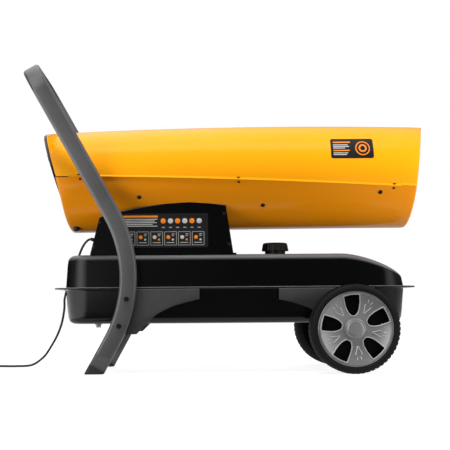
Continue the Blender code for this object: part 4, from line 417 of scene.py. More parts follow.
def make_finish(name, colour, blotch, rough, metallic, blotch_size, blotch_amount, scuff_rough, peel_size,
                peel_strength, specular=0.5, peel_depth=0.0002, film=None):
    """A Principled finish from the shared effects."""
    finish = bpy.data.materials.new(name)
    finish.use_nodes = True
    finish.diffuse_color = (*colour, 1)
    tree = finish.node_tree
    place = tree.nodes.new("ShaderNodeTexCoord").outputs["Object"]

    def effect(group, **values):
        return add_node(tree, "ShaderNodeGroup", node_tree=group, **values)

    skin_colour = effect(soft_blotches, Place=place, Size=blotch_size, Colour=(*colour, 1), Blotch=(*blotch, 1),
                         Amount=blotch_amount)
    # The painted highlight: upward-facing edges get the paler highlight tint.
    if film:
        skin_colour = effect(edge_film, Colour=skin_colour, Film=(*film, 1))
    scuffs = effect(handling_scuffs, Place=place, Size=SCUFF_SIZE)
    roughness = add_node(tree, "ShaderNodeMapRange", Value=scuffs, To_Min=rough, To_Max=rough + scuff_rough)
    skin = effect(skin_relief, Place=place, Size=peel_size, Strength=peel_strength, Depth=peel_depth)
    for label, value in (("Base Color", skin_colour), ("Roughness", roughness),
                         ("Normal", skin), ("Metallic", metallic), ("Specular IOR Level", specular)):
        feed(tree.nodes["Principled BSDF"].inputs[label], value)
    FINISHES[name] = finish


FINISHES = {}
print("finish builder ready")

# %% Paints and plastics
# A row is the name, the colour, the colour of its blotches, roughness, metallic, the size and amount of
# blotches, the roughness that scuffs add, and the size and strength of the relief. Some add a specular level.
for name, *values in (
        ("yellow_enamel", (0.96, 0.378, 0.005), (0.93, 0.350, 0.0044), 0.15, 0, 4, 0.5, 0.05, 260, 0.05, 0.28),
        # The lower sheet's yellow is the upper yellow made darker: painted shade for the lower half, which the
        # light above reaches less.
        ("shaded_yellow", (0.80, 0.264, 0.0034), (0.77, 0.248, 0.0030), 0.15, 0, 4, 0.5, 0.05, 260, 0.05, 0.28),
        ("frame_paint", (0.066, 0.066, 0.068), (0.110, 0.110, 0.113), 0.28, 0, 9, 0.5, 0.05, 700, 0.03, 1.0),
        # The brackets' paint is the frame paint made darker: painted shade for the shadow of the tank flange above
        # them.
        ("bracket_paint", (0.042, 0.042, 0.044), (0.052, 0.052, 0.054), 0.42, 0, 9, 0.5, 0.12, 700, 0.08),
        ("black_plastic", (0.0045, 0.0045, 0.005), (0.008, 0.008, 0.008), 0.36, 0, 7, 0.5, 0.10, 900, 0.12, 0.35),
        ("cord_rubber", (0.014, 0.014, 0.015), (0.026, 0.026, 0.026), 0.52, 0, 7, 0.5, 0.2, 600, 0.12),
        ("tyre_rubber", (0.0045, 0.0045, 0.0045), (0.0080, 0.0078, 0.0075), 0.62, 0, 14, 0.5, 0.18, 500, 0.25, 0.3),
        ("rim_plastic", (0.47, 0.47, 0.475), (0.41, 0.41, 0.415), 0.30, 0.75, 16, 0.4, 0.015, 800, 0.02),
        # A paler rim finish for the raised window edges and fork ribs: painted highlight along them.
        ("rim_edges", (0.58, 0.58, 0.585), (0.50, 0.50, 0.505), 0.30, 0.55, 16, 0.4, 0.03, 800, 0.02),
        # Black plastic for the rim's back, and painted shade in the windows: their floors and walls are this dark
        # so that the blind pockets look like deep openings.
        ("window_black", (0.0012, 0.0012, 0.0012), (0.0020, 0.0020, 0.0020), 0.6, 0, 7, 0.5, 0.05, 600, 0.1, 0.1),
        ("lamp_amber", (0.80, 0.25, 0.02), (0.62, 0.16, 0.01), 0.12, 0, 7, 0.5, 0.2, 160, 0.3),
        ("label_face", (0.010, 0.010, 0.011), (0.015, 0.015, 0.016), 0.34, 0, 7, 0.5, 0.2, 900, 0.05, 0.35),
        ("label_orange", (0.80, 0.23, 0.012), (0.70, 0.18, 0.01), 0.36, 0, 7, 0.5, 0.2, 900, 0.05),
        ("label_grey", (0.52, 0.52, 0.50), (0.42, 0.42, 0.41), 0.36, 0, 7, 0.5, 0.2, 900, 0.05)):
    make_finish(name, *values)
# Black enamel has the painted highlight on its rounded upper edges.
make_finish("black_enamel", (0.0020, 0.0020, 0.0022), (0.0030, 0.0030, 0.0032), 0.20, 0, 7, 0.5, 0.006, 420, 0.03,
            film=(0.11, 0.11, 0.112))
print("finishes:", len(FINISHES))

# %% Metals, ceramic and board
for name, *values in (
        ("zinc_steel", (0.78, 0.79, 0.80), (0.64, 0.65, 0.67), 0.26, 0.3, 40, 0.5, 0.2, 500, 0.1),
        ("galvanised_sheet", (0.42, 0.42, 0.41), (0.25, 0.24, 0.22), 0.38, 1, 18, 0.8, 0.2, 220, 0.12),
        ("chamber_steel", (0.42, 0.36, 0.30), (0.16, 0.13, 0.16), 0.34, 1, 9, 1, 0.25, 260, 0.12),
        ("fitting_brass", (0.72, 0.49, 0.20), (0.45, 0.28, 0.10), 0.26, 1, 60, 0.5, 0.2, 500, 0.1),
        ("igniter_ceramic", (0.74, 0.72, 0.66), (0.52, 0.46, 0.38), 0.3, 0, 70, 0.6, 0.2, 300, 0.1),
        ("circuit_board", (0.02, 0.13, 0.045), (0.05, 0.24, 0.09), 0.35, 0, 260, 1, 0.2, 200, 0.2)):
    make_finish(name, *values)
make_finish("cast_aluminium", (0.52, 0.53, 0.54), (0.38, 0.38, 0.39), 0.45, 1, 30, 0.5, 0.2, 420, 0.4,
            peel_depth=0.0004)
# The slots whose finish has another name than the slot.
FINISH_OF_SLOT = {"grey_frame_paint": "frame_paint", "black_rubber": "cord_rubber",
                  "silver_rim_plastic": "rim_plastic", "stainless_steel": "chamber_steel",
                  "brass": "fitting_brass", "white_ceramic": "igniter_ceramic", "green_board": "circuit_board",
                  "amber_lens": "lamp_amber"}
print("finishes:", len(FINISHES))

# %% [markdown]
# ## Power cord
# A 1.5 m rubber lead leaves the base box through a tapered relief, hangs down behind the tank and runs over
# the floor into a stored coil with its plug. It is one curve with a round bevel: a curve keeps the
# same thickness everywhere, and its own line is the line that a cord's length is measured on.

# %% Cord line
cord_spots = [
    (-0.4210, 0.0700, 0.4042), (-0.4280, 0.0710, 0.4020), (-0.4370, 0.0745, 0.3945),
    (-0.4450, 0.0800, 0.3845), (-0.4520, 0.0865, 0.3725), (-0.4588, 0.0945, 0.3585),
    (-0.4670, 0.1050, 0.3385), (-0.4785, 0.1170, 0.3120), (-0.4865, 0.1245, 0.2930),
    (-0.4943, 0.1300, 0.2750), (-0.5015, 0.1335, 0.2580), (-0.5080, 0.1358, 0.2370),
    (-0.5128, 0.1381, 0.2154), (-0.5131, 0.1396, 0.1970),
    (-0.5150, 0.1405, 0.1787), (-0.5184, 0.1407, 0.1586), (-0.5224, 0.1411, 0.1416),
    (-0.5287, 0.1419, 0.1228), (-0.5362, 0.1429, 0.1054), (-0.5450, 0.1443, 0.0880),
    (-0.5551, 0.1459, 0.0714), (-0.5644, 0.1474, 0.0566), (-0.5760, 0.1493, 0.0403),
    (-0.5894, 0.1512, 0.0274), (-0.6053, 0.1533, 0.0157), (-0.6225, 0.1554, 0.0079),
    (-0.6413, 0.1574, 0.0052), (-0.6590, 0.1593, 0.0048), (-0.6775, 0.1615, 0.0043),
    (-0.6969, 0.1638, 0.0044), (-0.7168, 0.1662, 0.0046), (-0.7348, 0.1686, 0.0046),
    (-0.7531, 0.1711, 0.0046), (-0.7600, 0.1720, 0.0046),
]
CORD_THICK = 0.007
STRAND_PITCH = 0.0079
COIL_TURNS = 3.25
COIL_CENTRE = Vector((-0.77337, 0.12695, 0))
COIL_TURN = Matrix.Rotation(atan2(0.13216, -0.99123) - QUARTER, 3, "Z")


def coil_spots(points_per_turn):
    """The stored coil: it spirals in on the floor layer, climbs, and spirals out on top of it."""
    outer = 0.040 + STRAND_PITCH * COIL_TURNS / 4
    spots = []
    count = round(COIL_TURNS * points_per_turn)
    for i in range(count + 1):
        turn = COIL_TURNS * i / count
        radius = outer - STRAND_PITCH * min(turn, COIL_TURNS - turn)
        height = 0.0046 + STRAND_PITCH * ease((turn - COIL_TURNS / 2) * 2 + 0.5)
        spots.append(COIL_CENTRE + COIL_TURN @ round_at(radius, FULL * turn, height))
    return spots


cord_line = smooth_line(cord_spots, 4) + coil_spots(40) + smooth_line(
    [(-0.8237, 0.1187, 0.0134), (-0.8280, 0.1043, 0.0153), (-0.8323, 0.0900, 0.0171),
     (-0.8366, 0.0756, 0.0180), (-0.8386, 0.0689, 0.0180)], 3)
cord_length = sum((b - a).length for a, b in zip(cord_line, cord_line[1:]))
print("cord length, m:", round(cord_length, 3), "points:", len(cord_line))

# %% Cord
cord_curve = settled(bpy.data.curves.new("power_cord", "CURVE"), dimensions="3D", bevel_depth=CORD_THICK / 2,
                     bevel_resolution=4, use_fill_caps=True)
add_line(cord_curve, cord_line, use_smooth=True)
cord_curve.materials.append(FINISHES["cord_rubber"])
power_cord = linked("power_cord", cord_curve)
fit(power_cord, "black_rubber", "cord", "cord_coil")

# %% [markdown]
# ## The barrel
# Two thin sheets, rolled and joined along a slanting seam, make the barrel. It is a little thicker in the
# middle than at its ends, and both ends are cut at a slant that follows the rolled sheet. The rows below are
# stations along the barrel with their points round it, so one form serves both halves: the upper sheet
# laps over the lower one and flares at its edge, which is the bright line along the side.

# %% Barrel form
AXLE_X = 0.35445
TANK_TOP_Z = 0.3455
BOX_FLOOR_Z = TANK_TOP_Z + 0.0003
SHEET = 0.0012
LAP = 0.0003
REAR_CUT = (1, 0.945, 0.878, 0.792, 0.680, 0.552, 0.418, 0.306, 0.222, 0.160, 0.098, 0.038, 0)
FRONT_CUT = (1, 0.862, 0.716, 0.586, 0.468, 0.367, 0.286, 0.222, 0.166, 0.111, 0.061, 0.022, 0)


def along_barrel(rear, middle, front, share):
    """A smooth curve through the values at the barrel's rear, middle and front."""
    return (rear * (1 - share) * (1 - 2 * share) + middle * 4 * share * (1 - share)
            + front * share * (2 * share - 1))


def barrel_radius(share):
    return along_barrel(0.1489, 0.15375, 0.1503, share)


def barrel_axis_z(share):
    return along_barrel(0.568, 0.580, 0.579, share)


def barrel_share(x):
    return (x + 0.50215) / 1.0545


def seam_angle(share):
    """Angle of the upper sheet's free edge, which falls from the rear to the front."""
    return radians(2.0 - 18.3 * share)


def cut_share(shares, angle):
    """A smooth curve through an end cut's shares, from the barrel's top to its bottom."""
    last = len(shares) - 1
    spot = acos(max(-1, min(1, sin(angle)))) / pi * last
    start = min(int(spot), last - 1)
    after = shares[last - abs(last - start - 2)]
    return curve_at(shares[abs(start - 1)], shares[start], shares[start + 1], after, spot - start)


def on_barrel(share, angle, lift=0):
    """A point on the barrel at a share of its length and an angle from the left side over the top."""
    rear = -0.4660 - 0.0820 * cut_share(REAR_CUT, angle)
    front = 0.5398 + 0.0552 * cut_share(FRONT_CUT, angle)
    radius = barrel_radius(share) + lift
    return Vector((rear + (front - rear) * share, radius * cos(angle),
                   barrel_axis_z(share) + radius * sin(angle)))


print("barrel radius in the middle, mm:", round(barrel_radius(0.5) * 1000, 1))

# %% Upper and lower sheet
SLOT_END = 0.038
END_BEAD = 0.007
STEP_START = 0.956
stations = sorted({i / 44 for i in range(45)} | {SLOT_END - 0.001, SLOT_END, END_BEAD, END_BEAD / 2,
                                                1 - END_BEAD, 1 - END_BEAD / 2, STEP_START - 0.001, STEP_START})
ARC_STEPS = 72
EDGE_STEPS = [radians(step) for step in (0, 0.3, 0.6, 0.9, 1.2, 1.5, 1.8, 2.1, 2.5, 3.2, 4.4)]
SLOT_GAP = radians(0.45)
LIP_WIDTH = 2.5
LIP_RISE = 0.0029
TOP_TRIM, LOW_TRIM = 0.0031, 0.0011


def sweep_angles(low, high):
    """Angles from low to high that lie closer together near both ends."""
    start, end = low + EDGE_STEPS[-1], high - EDGE_STEPS[-1]
    return ([low + step for step in EDGE_STEPS[:-1]]
            + [start + (end - start) * i / ARC_STEPS for i in range(ARC_STEPS + 1)]
            + [high - step for step in reversed(EDGE_STEPS[:-1])])


def end_roll(share):
    """Both ends of the sheets are rolled in by a hair."""
    return -0.0012 * ease(1 - min(share, 1 - share) / END_BEAD)


def upper_row(share):
    low = seam_angle(share)
    if share < SLOT_END:
        low += SLOT_GAP
    elif share >= STEP_START:
        low += radians(1.3)
    row = []
    for angle in sweep_angles(low, pi - low):
        past = degrees(min(angle, pi - angle) - low)
        lip = LIP_RISE * ease(1 - past / LIP_WIDTH) if share >= SLOT_END else 0
        trim = TOP_TRIM * ease(abs(degrees(angle - QUARTER)) / 30)
        row.append(on_barrel(max(share, trim), angle, SHEET + LAP + lip + end_roll(share)))
    return row


def lower_row(share):
    seam = seam_angle(share)
    top = seam - SLOT_GAP if share < SLOT_END else seam + radians(3.4)
    return [on_barrel(max(share, LOW_TRIM), angle, end_roll(share))
            for angle in sweep_angles(pi - top, FULL + top)]


# The lower sheet takes the darker yellow, which is painted shade.
for name, row_at, finish, node in (("barrel_top", upper_row, "yellow_enamel", "upper_shell"),
                                   ("barrel_bottom", lower_row, "shaded_yellow", "lower_shell")):
    work = skin_of([row_at(share) for share in stations], around=False)
    barrel_sheet = end_piece(name, work, [finish, "galvanised_sheet"], sharp=25, outward=False)
    middle = len(barrel_sheet.data.polygons) // 2
    centre = barrel_sheet.data.polygons[middle].center
    face_to(barrel_sheet, middle, Vector((0, centre.y, centre.z - 0.58)))
    thick_sheet(barrel_sheet, SHEET, inner_finish=1)
    fit(barrel_sheet, "yellow_enamel", node)

# %% [markdown]
# ## Screws and bolts from trees
# The same screw comes back many times on the machine. A Geometry Nodes tree builds its head once and sets a
# copy on every mark, turned to the direction that the mark stores. The marks are loose points with a facing.
# Each kind of head has its own tree, and all trees end in the same nodes. They make real mesh, because
# instances don't survive export.

# %% Marks and trees
def place_marks(name, spots):
    """Loose points for a tree to set things on: each spot is a place and the direction it faces."""
    mesh = bpy.data.meshes.new(name)
    mesh.from_pydata([Vector(place) for place, facing in spots], [], [])
    facing_values = mesh.attributes.new("facing", "FLOAT_VECTOR", "POINT")
    facing_values.data.foreach_set("vector", [c for place, facing in spots for c in Vector(facing).normalized()])
    return mesh


def head_tree(name, sizes):
    """A Geometry Nodes tree that takes marks, named sizes and a finish."""
    tree, given, result = new_tree(
        name, "GeometryNodeTree", {"Base": "NodeSocketGeometry", **sizes, "Finish": "NodeSocketMaterial"},
        {"Result": "NodeSocketGeometry"})
    tree.is_modifier = True
    return tree, given, result


def end_tree(tree, given, result, head):
    """Set the head on every mark, turned to its facing, make all copies real, paint them and put them out."""
    facing = add_node(tree, "GeometryNodeInputNamedAttribute", data_type="FLOAT_VECTOR", Name="facing")
    turn = add_node(tree, "FunctionNodeAlignRotationToVector", axis="Z", Vector=facing.outputs["Attribute"])
    copies = add_node(tree, "GeometryNodeInstanceOnPoints", Points=given["Base"], Instance=head, Rotation=turn)
    real = add_node(tree, "GeometryNodeRealizeInstances", Geometry=copies)
    flat = add_node(tree, "GeometryNodeSetShadeSmooth", Geometry=real, Shade_Smooth=False)
    painted = add_node(tree, "GeometryNodeSetMaterial", Geometry=flat, Material=given["Finish"])
    feed(result["Result"], painted)


def moved(tree, geometry, **values):
    return add_node(tree, "GeometryNodeTransform", Geometry=geometry, **values)


def grow(name, marks, tree, finish="black_plastic", sharp=40, **values):
    """Run a tree on marks and keep what it makes as a plain mesh piece."""
    maker = linked(name, place_marks(name, marks))
    run = settled(maker.modifiers.new("grow", "NODES"), node_group=tree)
    values["Finish"] = FINISHES[finish]
    for item in tree.interface.items_tree:
        label = item.name.replace(" ", "_")
        if item.item_type == "SOCKET" and item.in_out == "INPUT" and label in values:
            run[item.identifier] = values[label]
    bake_shape(maker)
    maker.data.name = name
    return shaded(maker, sharp)


def set_screws(name, marks, radius, height, recess):
    """Small black pan head screws on marks."""
    fit(grow(name, marks, pan_screws, Head_Radius=radius, Head_Height=height, Recess_Width=recess),
        "black_plastic")


print("tree tools ready")

# %% Tree: pan head screws
pan_screws, given, result = head_tree("pan_screws", {"Head Radius": 0.005, "Head Height": 0.002,
                                                     "Recess Width": 0.0012})
radius, height = given["Head Radius"], given["Head Height"]
dome = add_node(pan_screws, "GeometryNodeMeshUVSphere", Segments=20, Rings=10, Radius=radius)
flat_scale = add_node(pan_screws, "ShaderNodeCombineXYZ", 1, 1, worked(pan_screws, "DIVIDE", height, radius))
recess = add_node(pan_screws, "GeometryNodeMeshBoolean", operation="DIFFERENCE")
feed(recess.inputs["Mesh 1"], moved(pan_screws, dome, Scale=flat_scale))
for bar_sides in ((radius, given["Recess Width"]), (given["Recess Width"], radius)):
    bar_size = add_node(pan_screws, "ShaderNodeCombineXYZ", *bar_sides, height)
    bar = add_node(pan_screws, "GeometryNodeMeshCube", Size=bar_size)
    lift = add_node(pan_screws, "ShaderNodeCombineXYZ", Z=height)
    feed(recess.inputs["Mesh 2"], moved(pan_screws, bar, Translation=lift))
end_tree(pan_screws, given, result, recess)

# %% Tree: hex bolts
hex_bolts, given, result = head_tree("hex_bolts", {"Head Radius": 0.006, "Head Height": 0.004,
                                                   "Washer Radius": 0.008, "Washer Height": 0.0014})
bolt_head = hex_bolts.nodes.new("GeometryNodeJoinGeometry")
for part, sides, foot in (("Head", 6, 0.0012), ("Washer", 24, 0)):
    height = given[part + " Height"]
    rod = add_node(hex_bolts, "GeometryNodeMeshCylinder", Vertices=sides, Radius=given[part + " Radius"],
                   Depth=height)
    up = add_node(hex_bolts, "ShaderNodeCombineXYZ", Z=worked(hex_bolts, "MULTIPLY_ADD", height, 0.5, foot))
    feed(bolt_head.inputs["Geometry"], moved(hex_bolts, rod, Translation=up))
end_tree(hex_bolts, given, result, bolt_head)

# %% Screws of the barrel
def barrel_facing(share, angle):
    """The outward direction of the barrel at a place."""
    lengthways = on_barrel(share + 0.005, angle) - on_barrel(share - 0.005, angle)
    round_it = on_barrel(share, angle + 0.01) - on_barrel(share, angle - 0.01)
    facing = lengthways.cross(round_it).normalized()
    outward = Vector((0, cos(angle), sin(angle)))
    return facing if facing.dot(outward) > 0 else -facing


def barrel_place(x, z):
    """Share and angle of a place on the barrel's right side."""
    share = barrel_share(x)
    for turn in range(6):
        angle = pi - asin((z - barrel_axis_z(share)) / barrel_radius(share))
        share += (x - on_barrel(share, angle).x) / 1.05
    return share, angle


screw_marks = []
for x, z in ((-0.257, 0.5126), (0.1045, 0.4886), (0.4463, 0.5225)):
    share, right_angle = barrel_place(x, z)
    for angle in (right_angle, pi - right_angle):
        screw_marks.append((on_barrel(share, angle, 0.0002), barrel_facing(share, angle)))
set_screws("barrel_screws", screw_marks, 0.0062, 0.0038, 0.0015)

# %% Seam clips, painted slot shade and rubber grommet
def lay_stud(work, share, angle, half_wide, half_high, stages, steps, lift=0):
    """An oval stud on the barrel. Each stage is a share of its size and a rise over the sheet."""
    middle, facing = on_barrel(share, angle, lift), barrel_facing(share, angle)
    along = (on_barrel(share + 0.01, angle) - on_barrel(share - 0.01, angle)).normalized()
    up = facing.cross(along)
    lay_rows(work, [[middle + along * half_wide * reach * cos(a) + up * half_high * reach * sin(a) + facing * rise
                     for a in fan(steps)] for reach, rise in stages], capped=True)


def near_seam(share, drop, hand):
    """The angle at so many degrees over the seam, on either side."""
    angle = seam_angle(share) + radians(drop)
    return pi - angle if hand < 0 else angle


work = bmesh.new()
for hand in (-1, 1):
    for share in map(barrel_share, (-0.4314, 0.0288, 0.4845)):
        for drop, half_wide, half_high, lift in ((2.3, 0.0042, 0.0017, 0.0030), (-2.7, 0.0032, 0.0034, 0.0010)):
            lay_stud(work, share, near_seam(share, drop, hand), half_wide, half_high,
                     ((1, -0.0022), (1, 0.0004), (0.7, 0.0012)), 16, lift)
    # A black strip inside the barrel, behind the open slot at the rear of the seam, is painted shade that makes the
    # slot look dark.
    lay_rows(work, [[on_barrel(share, near_seam(share, drop, hand), lift) for drop, lift in (
        (2.4, -0.0014), (-2.4, -0.0014), (-2.4, -0.0020), (2.4, -0.0020))]
        for share in (0.004 + (SLOT_END + 0.004) * i / 8 for i in range(9))], capped=True)
dress("seam_clips", work, "black_plastic")

work = bmesh.new()
lay_stud(work, *barrel_place(-0.4505, 0.4300), 0.0112, 0.0112, (
    (1, -0.002), (1, 0.0022), (0.93, 0.0032), (0.76, 0.0034), (0.72, 0.0068), (0.60, 0.0080), (0.40, 0.0080),
    (0.34, 0.0060)), 28)
dress("barrel_grommets", work, "black_rubber")

# %% [markdown]
# ## Fuel tank
# The tank is pressed from two sheet pans with a flange between them, and the flange edge is crimped. Its top
# falls away at the front, under the hot outlet. Rounded edges matter more than anything else here: on black
# paint only their highlights show the form.

# %% Tank form
TANK_MIDDLE_X = 0.02135
TANK_HALF_LENGTH = 0.5005
TANK_HALF_WIDTH = 0.147
CORNER_R = 0.070
SEAM_Z = 0.2472
TANK_LOW_Z = 0.1438
PAN = 0.0015
EDGE_R = 0.022
FLANGE_END, FLANGE_SIDE = 0.0334, 0.018
SLOPE = 0.190
SLOPE_START_X = TANK_MIDDLE_X + TANK_HALF_LENGTH - SLOPE
CAP_X = 0.14845


def tank_top(x):
    return TANK_TOP_Z - 0.0665 * max(0, (x - SLOPE_START_X) / SLOPE) ** 1.75


def tank_ring(inset, lip_end=0, lip_side=0):
    """One outline round the tank: its left half from rear to front, then its mirror image."""
    half_length = TANK_HALF_LENGTH - inset + lip_end
    half_width = TANK_HALF_WIDTH - inset + lip_side
    radius = CORNER_R - inset + lip_side
    rear = TANK_MIDDLE_X - half_length + radius
    front = TANK_MIDDLE_X + half_length - radius
    line = arc_line((rear, half_width - radius), radius, pi, QUARTER, 14)
    line += [Vector((SLOPE_START_X + (front - SLOPE_START_X) * i / 14, half_width)) for i in range(14)]
    line += arc_line((front, half_width - radius), radius, QUARTER, 0, 14)
    return line + mirror_of(line)


def pressed_pan(name, foot_z, far_at, side, holes, node):
    """A tank half: flange, rounded foot, wall, rounded edge and face."""
    depth = abs(far_at(TANK_MIDDLE_X) - foot_z)
    cuts = [(0, 0, FLANGE_END, FLANGE_SIDE), (-0.0024, 0), (-0.0009, 0.006), (0, 0.022), (0.0002, 0.05),
            (0.0046, 0.65), (0.0050, 0.70)]
    cuts += [(0.006 + EDGE_R * (1 - cos(a)), 1 - EDGE_R * (1 - sin(a)) / depth)
             for a in quarter_fan(8)] + [(0.033, 1)]
    work = skin_of([[Vector((spot.x, spot.y, foot_z + (far_at(spot.x) - foot_z) * share))
                     for spot in tank_ring(inset, *lip)] for inset, share, *lip in cuts])
    work.verts.ensure_lookup_table()
    count = len(tank_ring(0))
    face = work.verts[-count:]
    for i in range(count // 2 - 1):
        work.faces.new((face[i], face[i + 1], face[count - 2 - i], face[count - 1 - i]))
    pan = end_piece(name, work, ["black_enamel"], sharp=40)
    face_to(pan, -1, Vector((0, 0, side)))
    thick_sheet(pan, PAN)
    cut_through(pan, [cut_tool(ring_of(radius, 0, 48), -0.012, 0.012, Matrix.Translation((x, y, far_at(x))))
                      for x, y, radius in holes])
    fit(pan, "black_enamel", node)


pressed_pan("tank_top_half", SEAM_Z + PAN, tank_top, 1, [(CAP_X, 0, 0.026), (-0.14415, -0.024, 0.0033)],
            "tank_upper_pan")
pressed_pan("tank_bottom_half", SEAM_Z - 0.0003 - PAN, lambda x: TANK_LOW_Z, -1, [(-0.39185, 0, 0.0053)],
            "tank_lower_pan")

# %% Crimped flange edge
HEM = ((-0.0035, 0.0026), (-0.0020, 0.0028), (-0.0006, 0.0021), (0.0001, 0.0008), (0.0001, -0.0010),
       (-0.0005, -0.0016), (-0.0035, -0.0016))
hem_rows = [[Vector((spot.x, spot.y, SEAM_Z - 0.00015 + up))
             for spot in tank_ring(0, FLANGE_END + out, FLANGE_SIDE + out)] for out, up in HEM]
dress("tank_flange_edge", skin_of(hem_rows, looped=True), "black_enamel", sharp=50)
set_screws("flange_screws", [((x, hand * 0.156, SEAM_Z + PAN), (0, 0, 1))
                             for x in (-0.26265, -0.11015, 0.17035, 0.32335) for hand in (-1, 1)],
           0.0047, 0.0036, 0.0013)

# %% [markdown]
# ## Base box
# A folded box between the tank and the barrel holds the electrics. Each side cover is one plate: its top edge
# is folded inward until it meets the barrel, and it carries the controls on the far side.

# %% Side covers
COVER_Y = 0.130
CONTROL_Z = 0.422
DIAL_X = -0.08615


def box_edge_x(z, share):
    """Length of a place on the box side, which narrows upwards."""
    rear, front = -0.40265 + (z - BOX_FLOOR_Z) * 0.260, 0.01735 - (z - BOX_FLOOR_Z) * 0.154
    return rear + (front - rear) * share


def cover_row(share, hand):
    """One upright cut of a cover, from its foot up to where its fold meets the barrel."""
    top = BOX_FLOOR_Z + along_barrel(0.1115, 0.1475, 0.1435, share)
    top -= 0.0028 * max(0, 1 - share / 0.008) ** 2 + 0.0014 * max(0, (share - 0.994) / 0.006) ** 2
    row = []
    for level in (0, 0.02, 0.5, 0.96):
        z = BOX_FLOOR_Z + (top - BOX_FLOOR_Z) * level
        row.append(Vector((box_edge_x(z, share), hand * COVER_Y, z)))
    x = box_edge_x(top, share)
    station = barrel_share(x)
    chord = sqrt(barrel_radius(station) ** 2 - (barrel_axis_z(station) - top) ** 2) + 0.0006
    fold = min(0.0030, (COVER_Y - chord) * 0.8)
    for a in quarter_fan(5):
        row.append(Vector((x, hand * (COVER_Y - fold * (1 - cos(a))), top - fold * (1 - sin(a)))))
    return row + [Vector((x, hand * chord, top))]


cover_shares = sorted({i / 36 for i in range(37)} | {0.001, 0.002, 0.004, 0.006, 0.008, 0.994, 0.997})
for side, hand in SIDES:
    name = "base_cover_" + side
    work = skin_of([cover_row(share, hand) for share in cover_shares], around=False)
    side_cover = end_piece("cover_skin", work, sharp=40)
    face_to(side_cover, 0, Vector((0, hand, 0)))
    thick_sheet(side_cover, SHEET, even=False)
    bake_shape(side_cover)
    if side == "left":
        switch_opening = rounded_box(-0.0124, 0.0124, -0.0156, 0.0156, 0.0018, 4)
        cut_through(side_cover, [
            cut_tool(outline, -0.01, 0.01,
                     Matrix.Translation((x, COVER_Y, CONTROL_Z)) @ Matrix.Rotation(-QUARTER, 4, "X"))
            for x, outline in ((DIAL_X, ring_of(0.0043, 0, 48)), (-0.21815, ring_of(0.0053, 0, 48)),
                               (-0.16615, switch_opening))])
    work = reopen(side_cover)
    for start, depth in ((0.01135, SHEET), (0.01765, 0.018)):
        outline = [(start, COVER_Y - depth), (0.02605, COVER_Y - depth), (0.02605, COVER_Y), (start, COVER_Y)]
        lay_rows(work, [[Vector((x, hand * y, z)) for x, y in outline]
                        for z in (BOX_FLOOR_Z, BOX_FLOOR_Z + 0.0035)], capped=True)
    dress(name + "_sheet", work, "black_enamel", name, sharp=40)
set_screws("panel_screws", [((x, hand * COVER_Y, z), (0, hand, 0)) for hand in (-1, 1) for x, z in (
    (-0.3718, 0.4395), (-0.3896, 0.3682), (-0.0085, 0.4638), (0.0055, 0.3745))], 0.0050, 0.0022, 0.0013)

# %% [markdown]
# ## Leg and handle tube
# One rectangular tube is leg, frame and handle. It runs up one side, over as the handle and down the other
# side. Its path is a list of centre points with the direction of its broad side, so the section never twists.
# Where the tube turns into the handle its outer wall is drawn in a little, as a bent tube does.

# %% Tube
LEG_LEAN = radians(29)
LEG_Y = 0.1811
BROAD, NARROW = 0.025, 0.0125
LEG_BEND, HANDLE_BEND = 0.380, 0.075


def leaning(angle):
    """A direction in the machine's length plane, so far over the level."""
    return Vector((cos(angle), 0, sin(angle)))


def rising(angle):
    return Vector((-sin(angle), 0, cos(angle)))


left_side = Vector((0, LEG_Y, 0))
bend_middle = Vector((-0.66765, 0, 0.280)) + left_side
low_end = bend_middle + LEG_BEND * leaning(-LEG_LEAN)
high_end = bend_middle + LEG_BEND * leaning(LEG_LEAN)
leg_up, handle_up = rising(-LEG_LEAN), rising(LEG_LEAN)
foot_height = 0.0053 + BROAD * sin(LEG_LEAN)
foot_end = low_end - leg_up * ((low_end.z - foot_height) / cos(LEG_LEAN))
bend_start = high_end + handle_up * (0.4837 - HANDLE_BEND)
stops = [(foot_end, leg_up, 0), (foot_end.lerp(low_end, 0.5), leg_up, 0)]
for angle in (LEG_LEAN * (i / 10 - 1) for i in range(21)):
    stops.append((bend_middle + LEG_BEND * leaning(angle), rising(angle), 0))
stops += [(high_end.lerp(bend_start, i / 10), handle_up, 0) for i in range(1, 10)]
for angle in quarter_fan(32):
    dent = 0.0012 * ease(angle / 0.30) * ease((QUARTER - angle) / 0.30)
    inward = Vector((0, cos(angle) - 1, 0))
    stops.append((bend_start + HANDLE_BEND * (handle_up * sin(angle) + inward),
                  handle_up * cos(angle) - Vector((0, sin(angle), 0)), dent))
section = rounded_box(-BROAD, BROAD, -NARROW, NARROW, 0.009, 7)


def tube_row(spot, run, dent, hand):
    """The tube's section at a stop of its left half, or at the same stop of its right half."""
    in_side = abs(run.y) < 0.001
    broad = Vector((run.z, 0, -run.x)) if in_side else leaning(LEG_LEAN)
    narrow = broad.cross(run)
    row = []
    for across, out in section:
        if out * narrow.y > 0 or out < 0 and not in_side:
            out *= 1 - dent / NARROW
        place = spot + broad * across + narrow * out
        row.append(Vector((place.x, hand * place.y, place.z)))
    return row


tube_rows = [tube_row(*stop, 1) for stop in stops] + [tube_row(*stop, -1) for stop in reversed(stops)]
frame_tube = end_piece("handle_tube", skin_of(tube_rows), ["frame_paint"], sharp=50)
thick_sheet(frame_tube, 0.0016)
fit(frame_tube, "grey_frame_paint", "handle_frame")

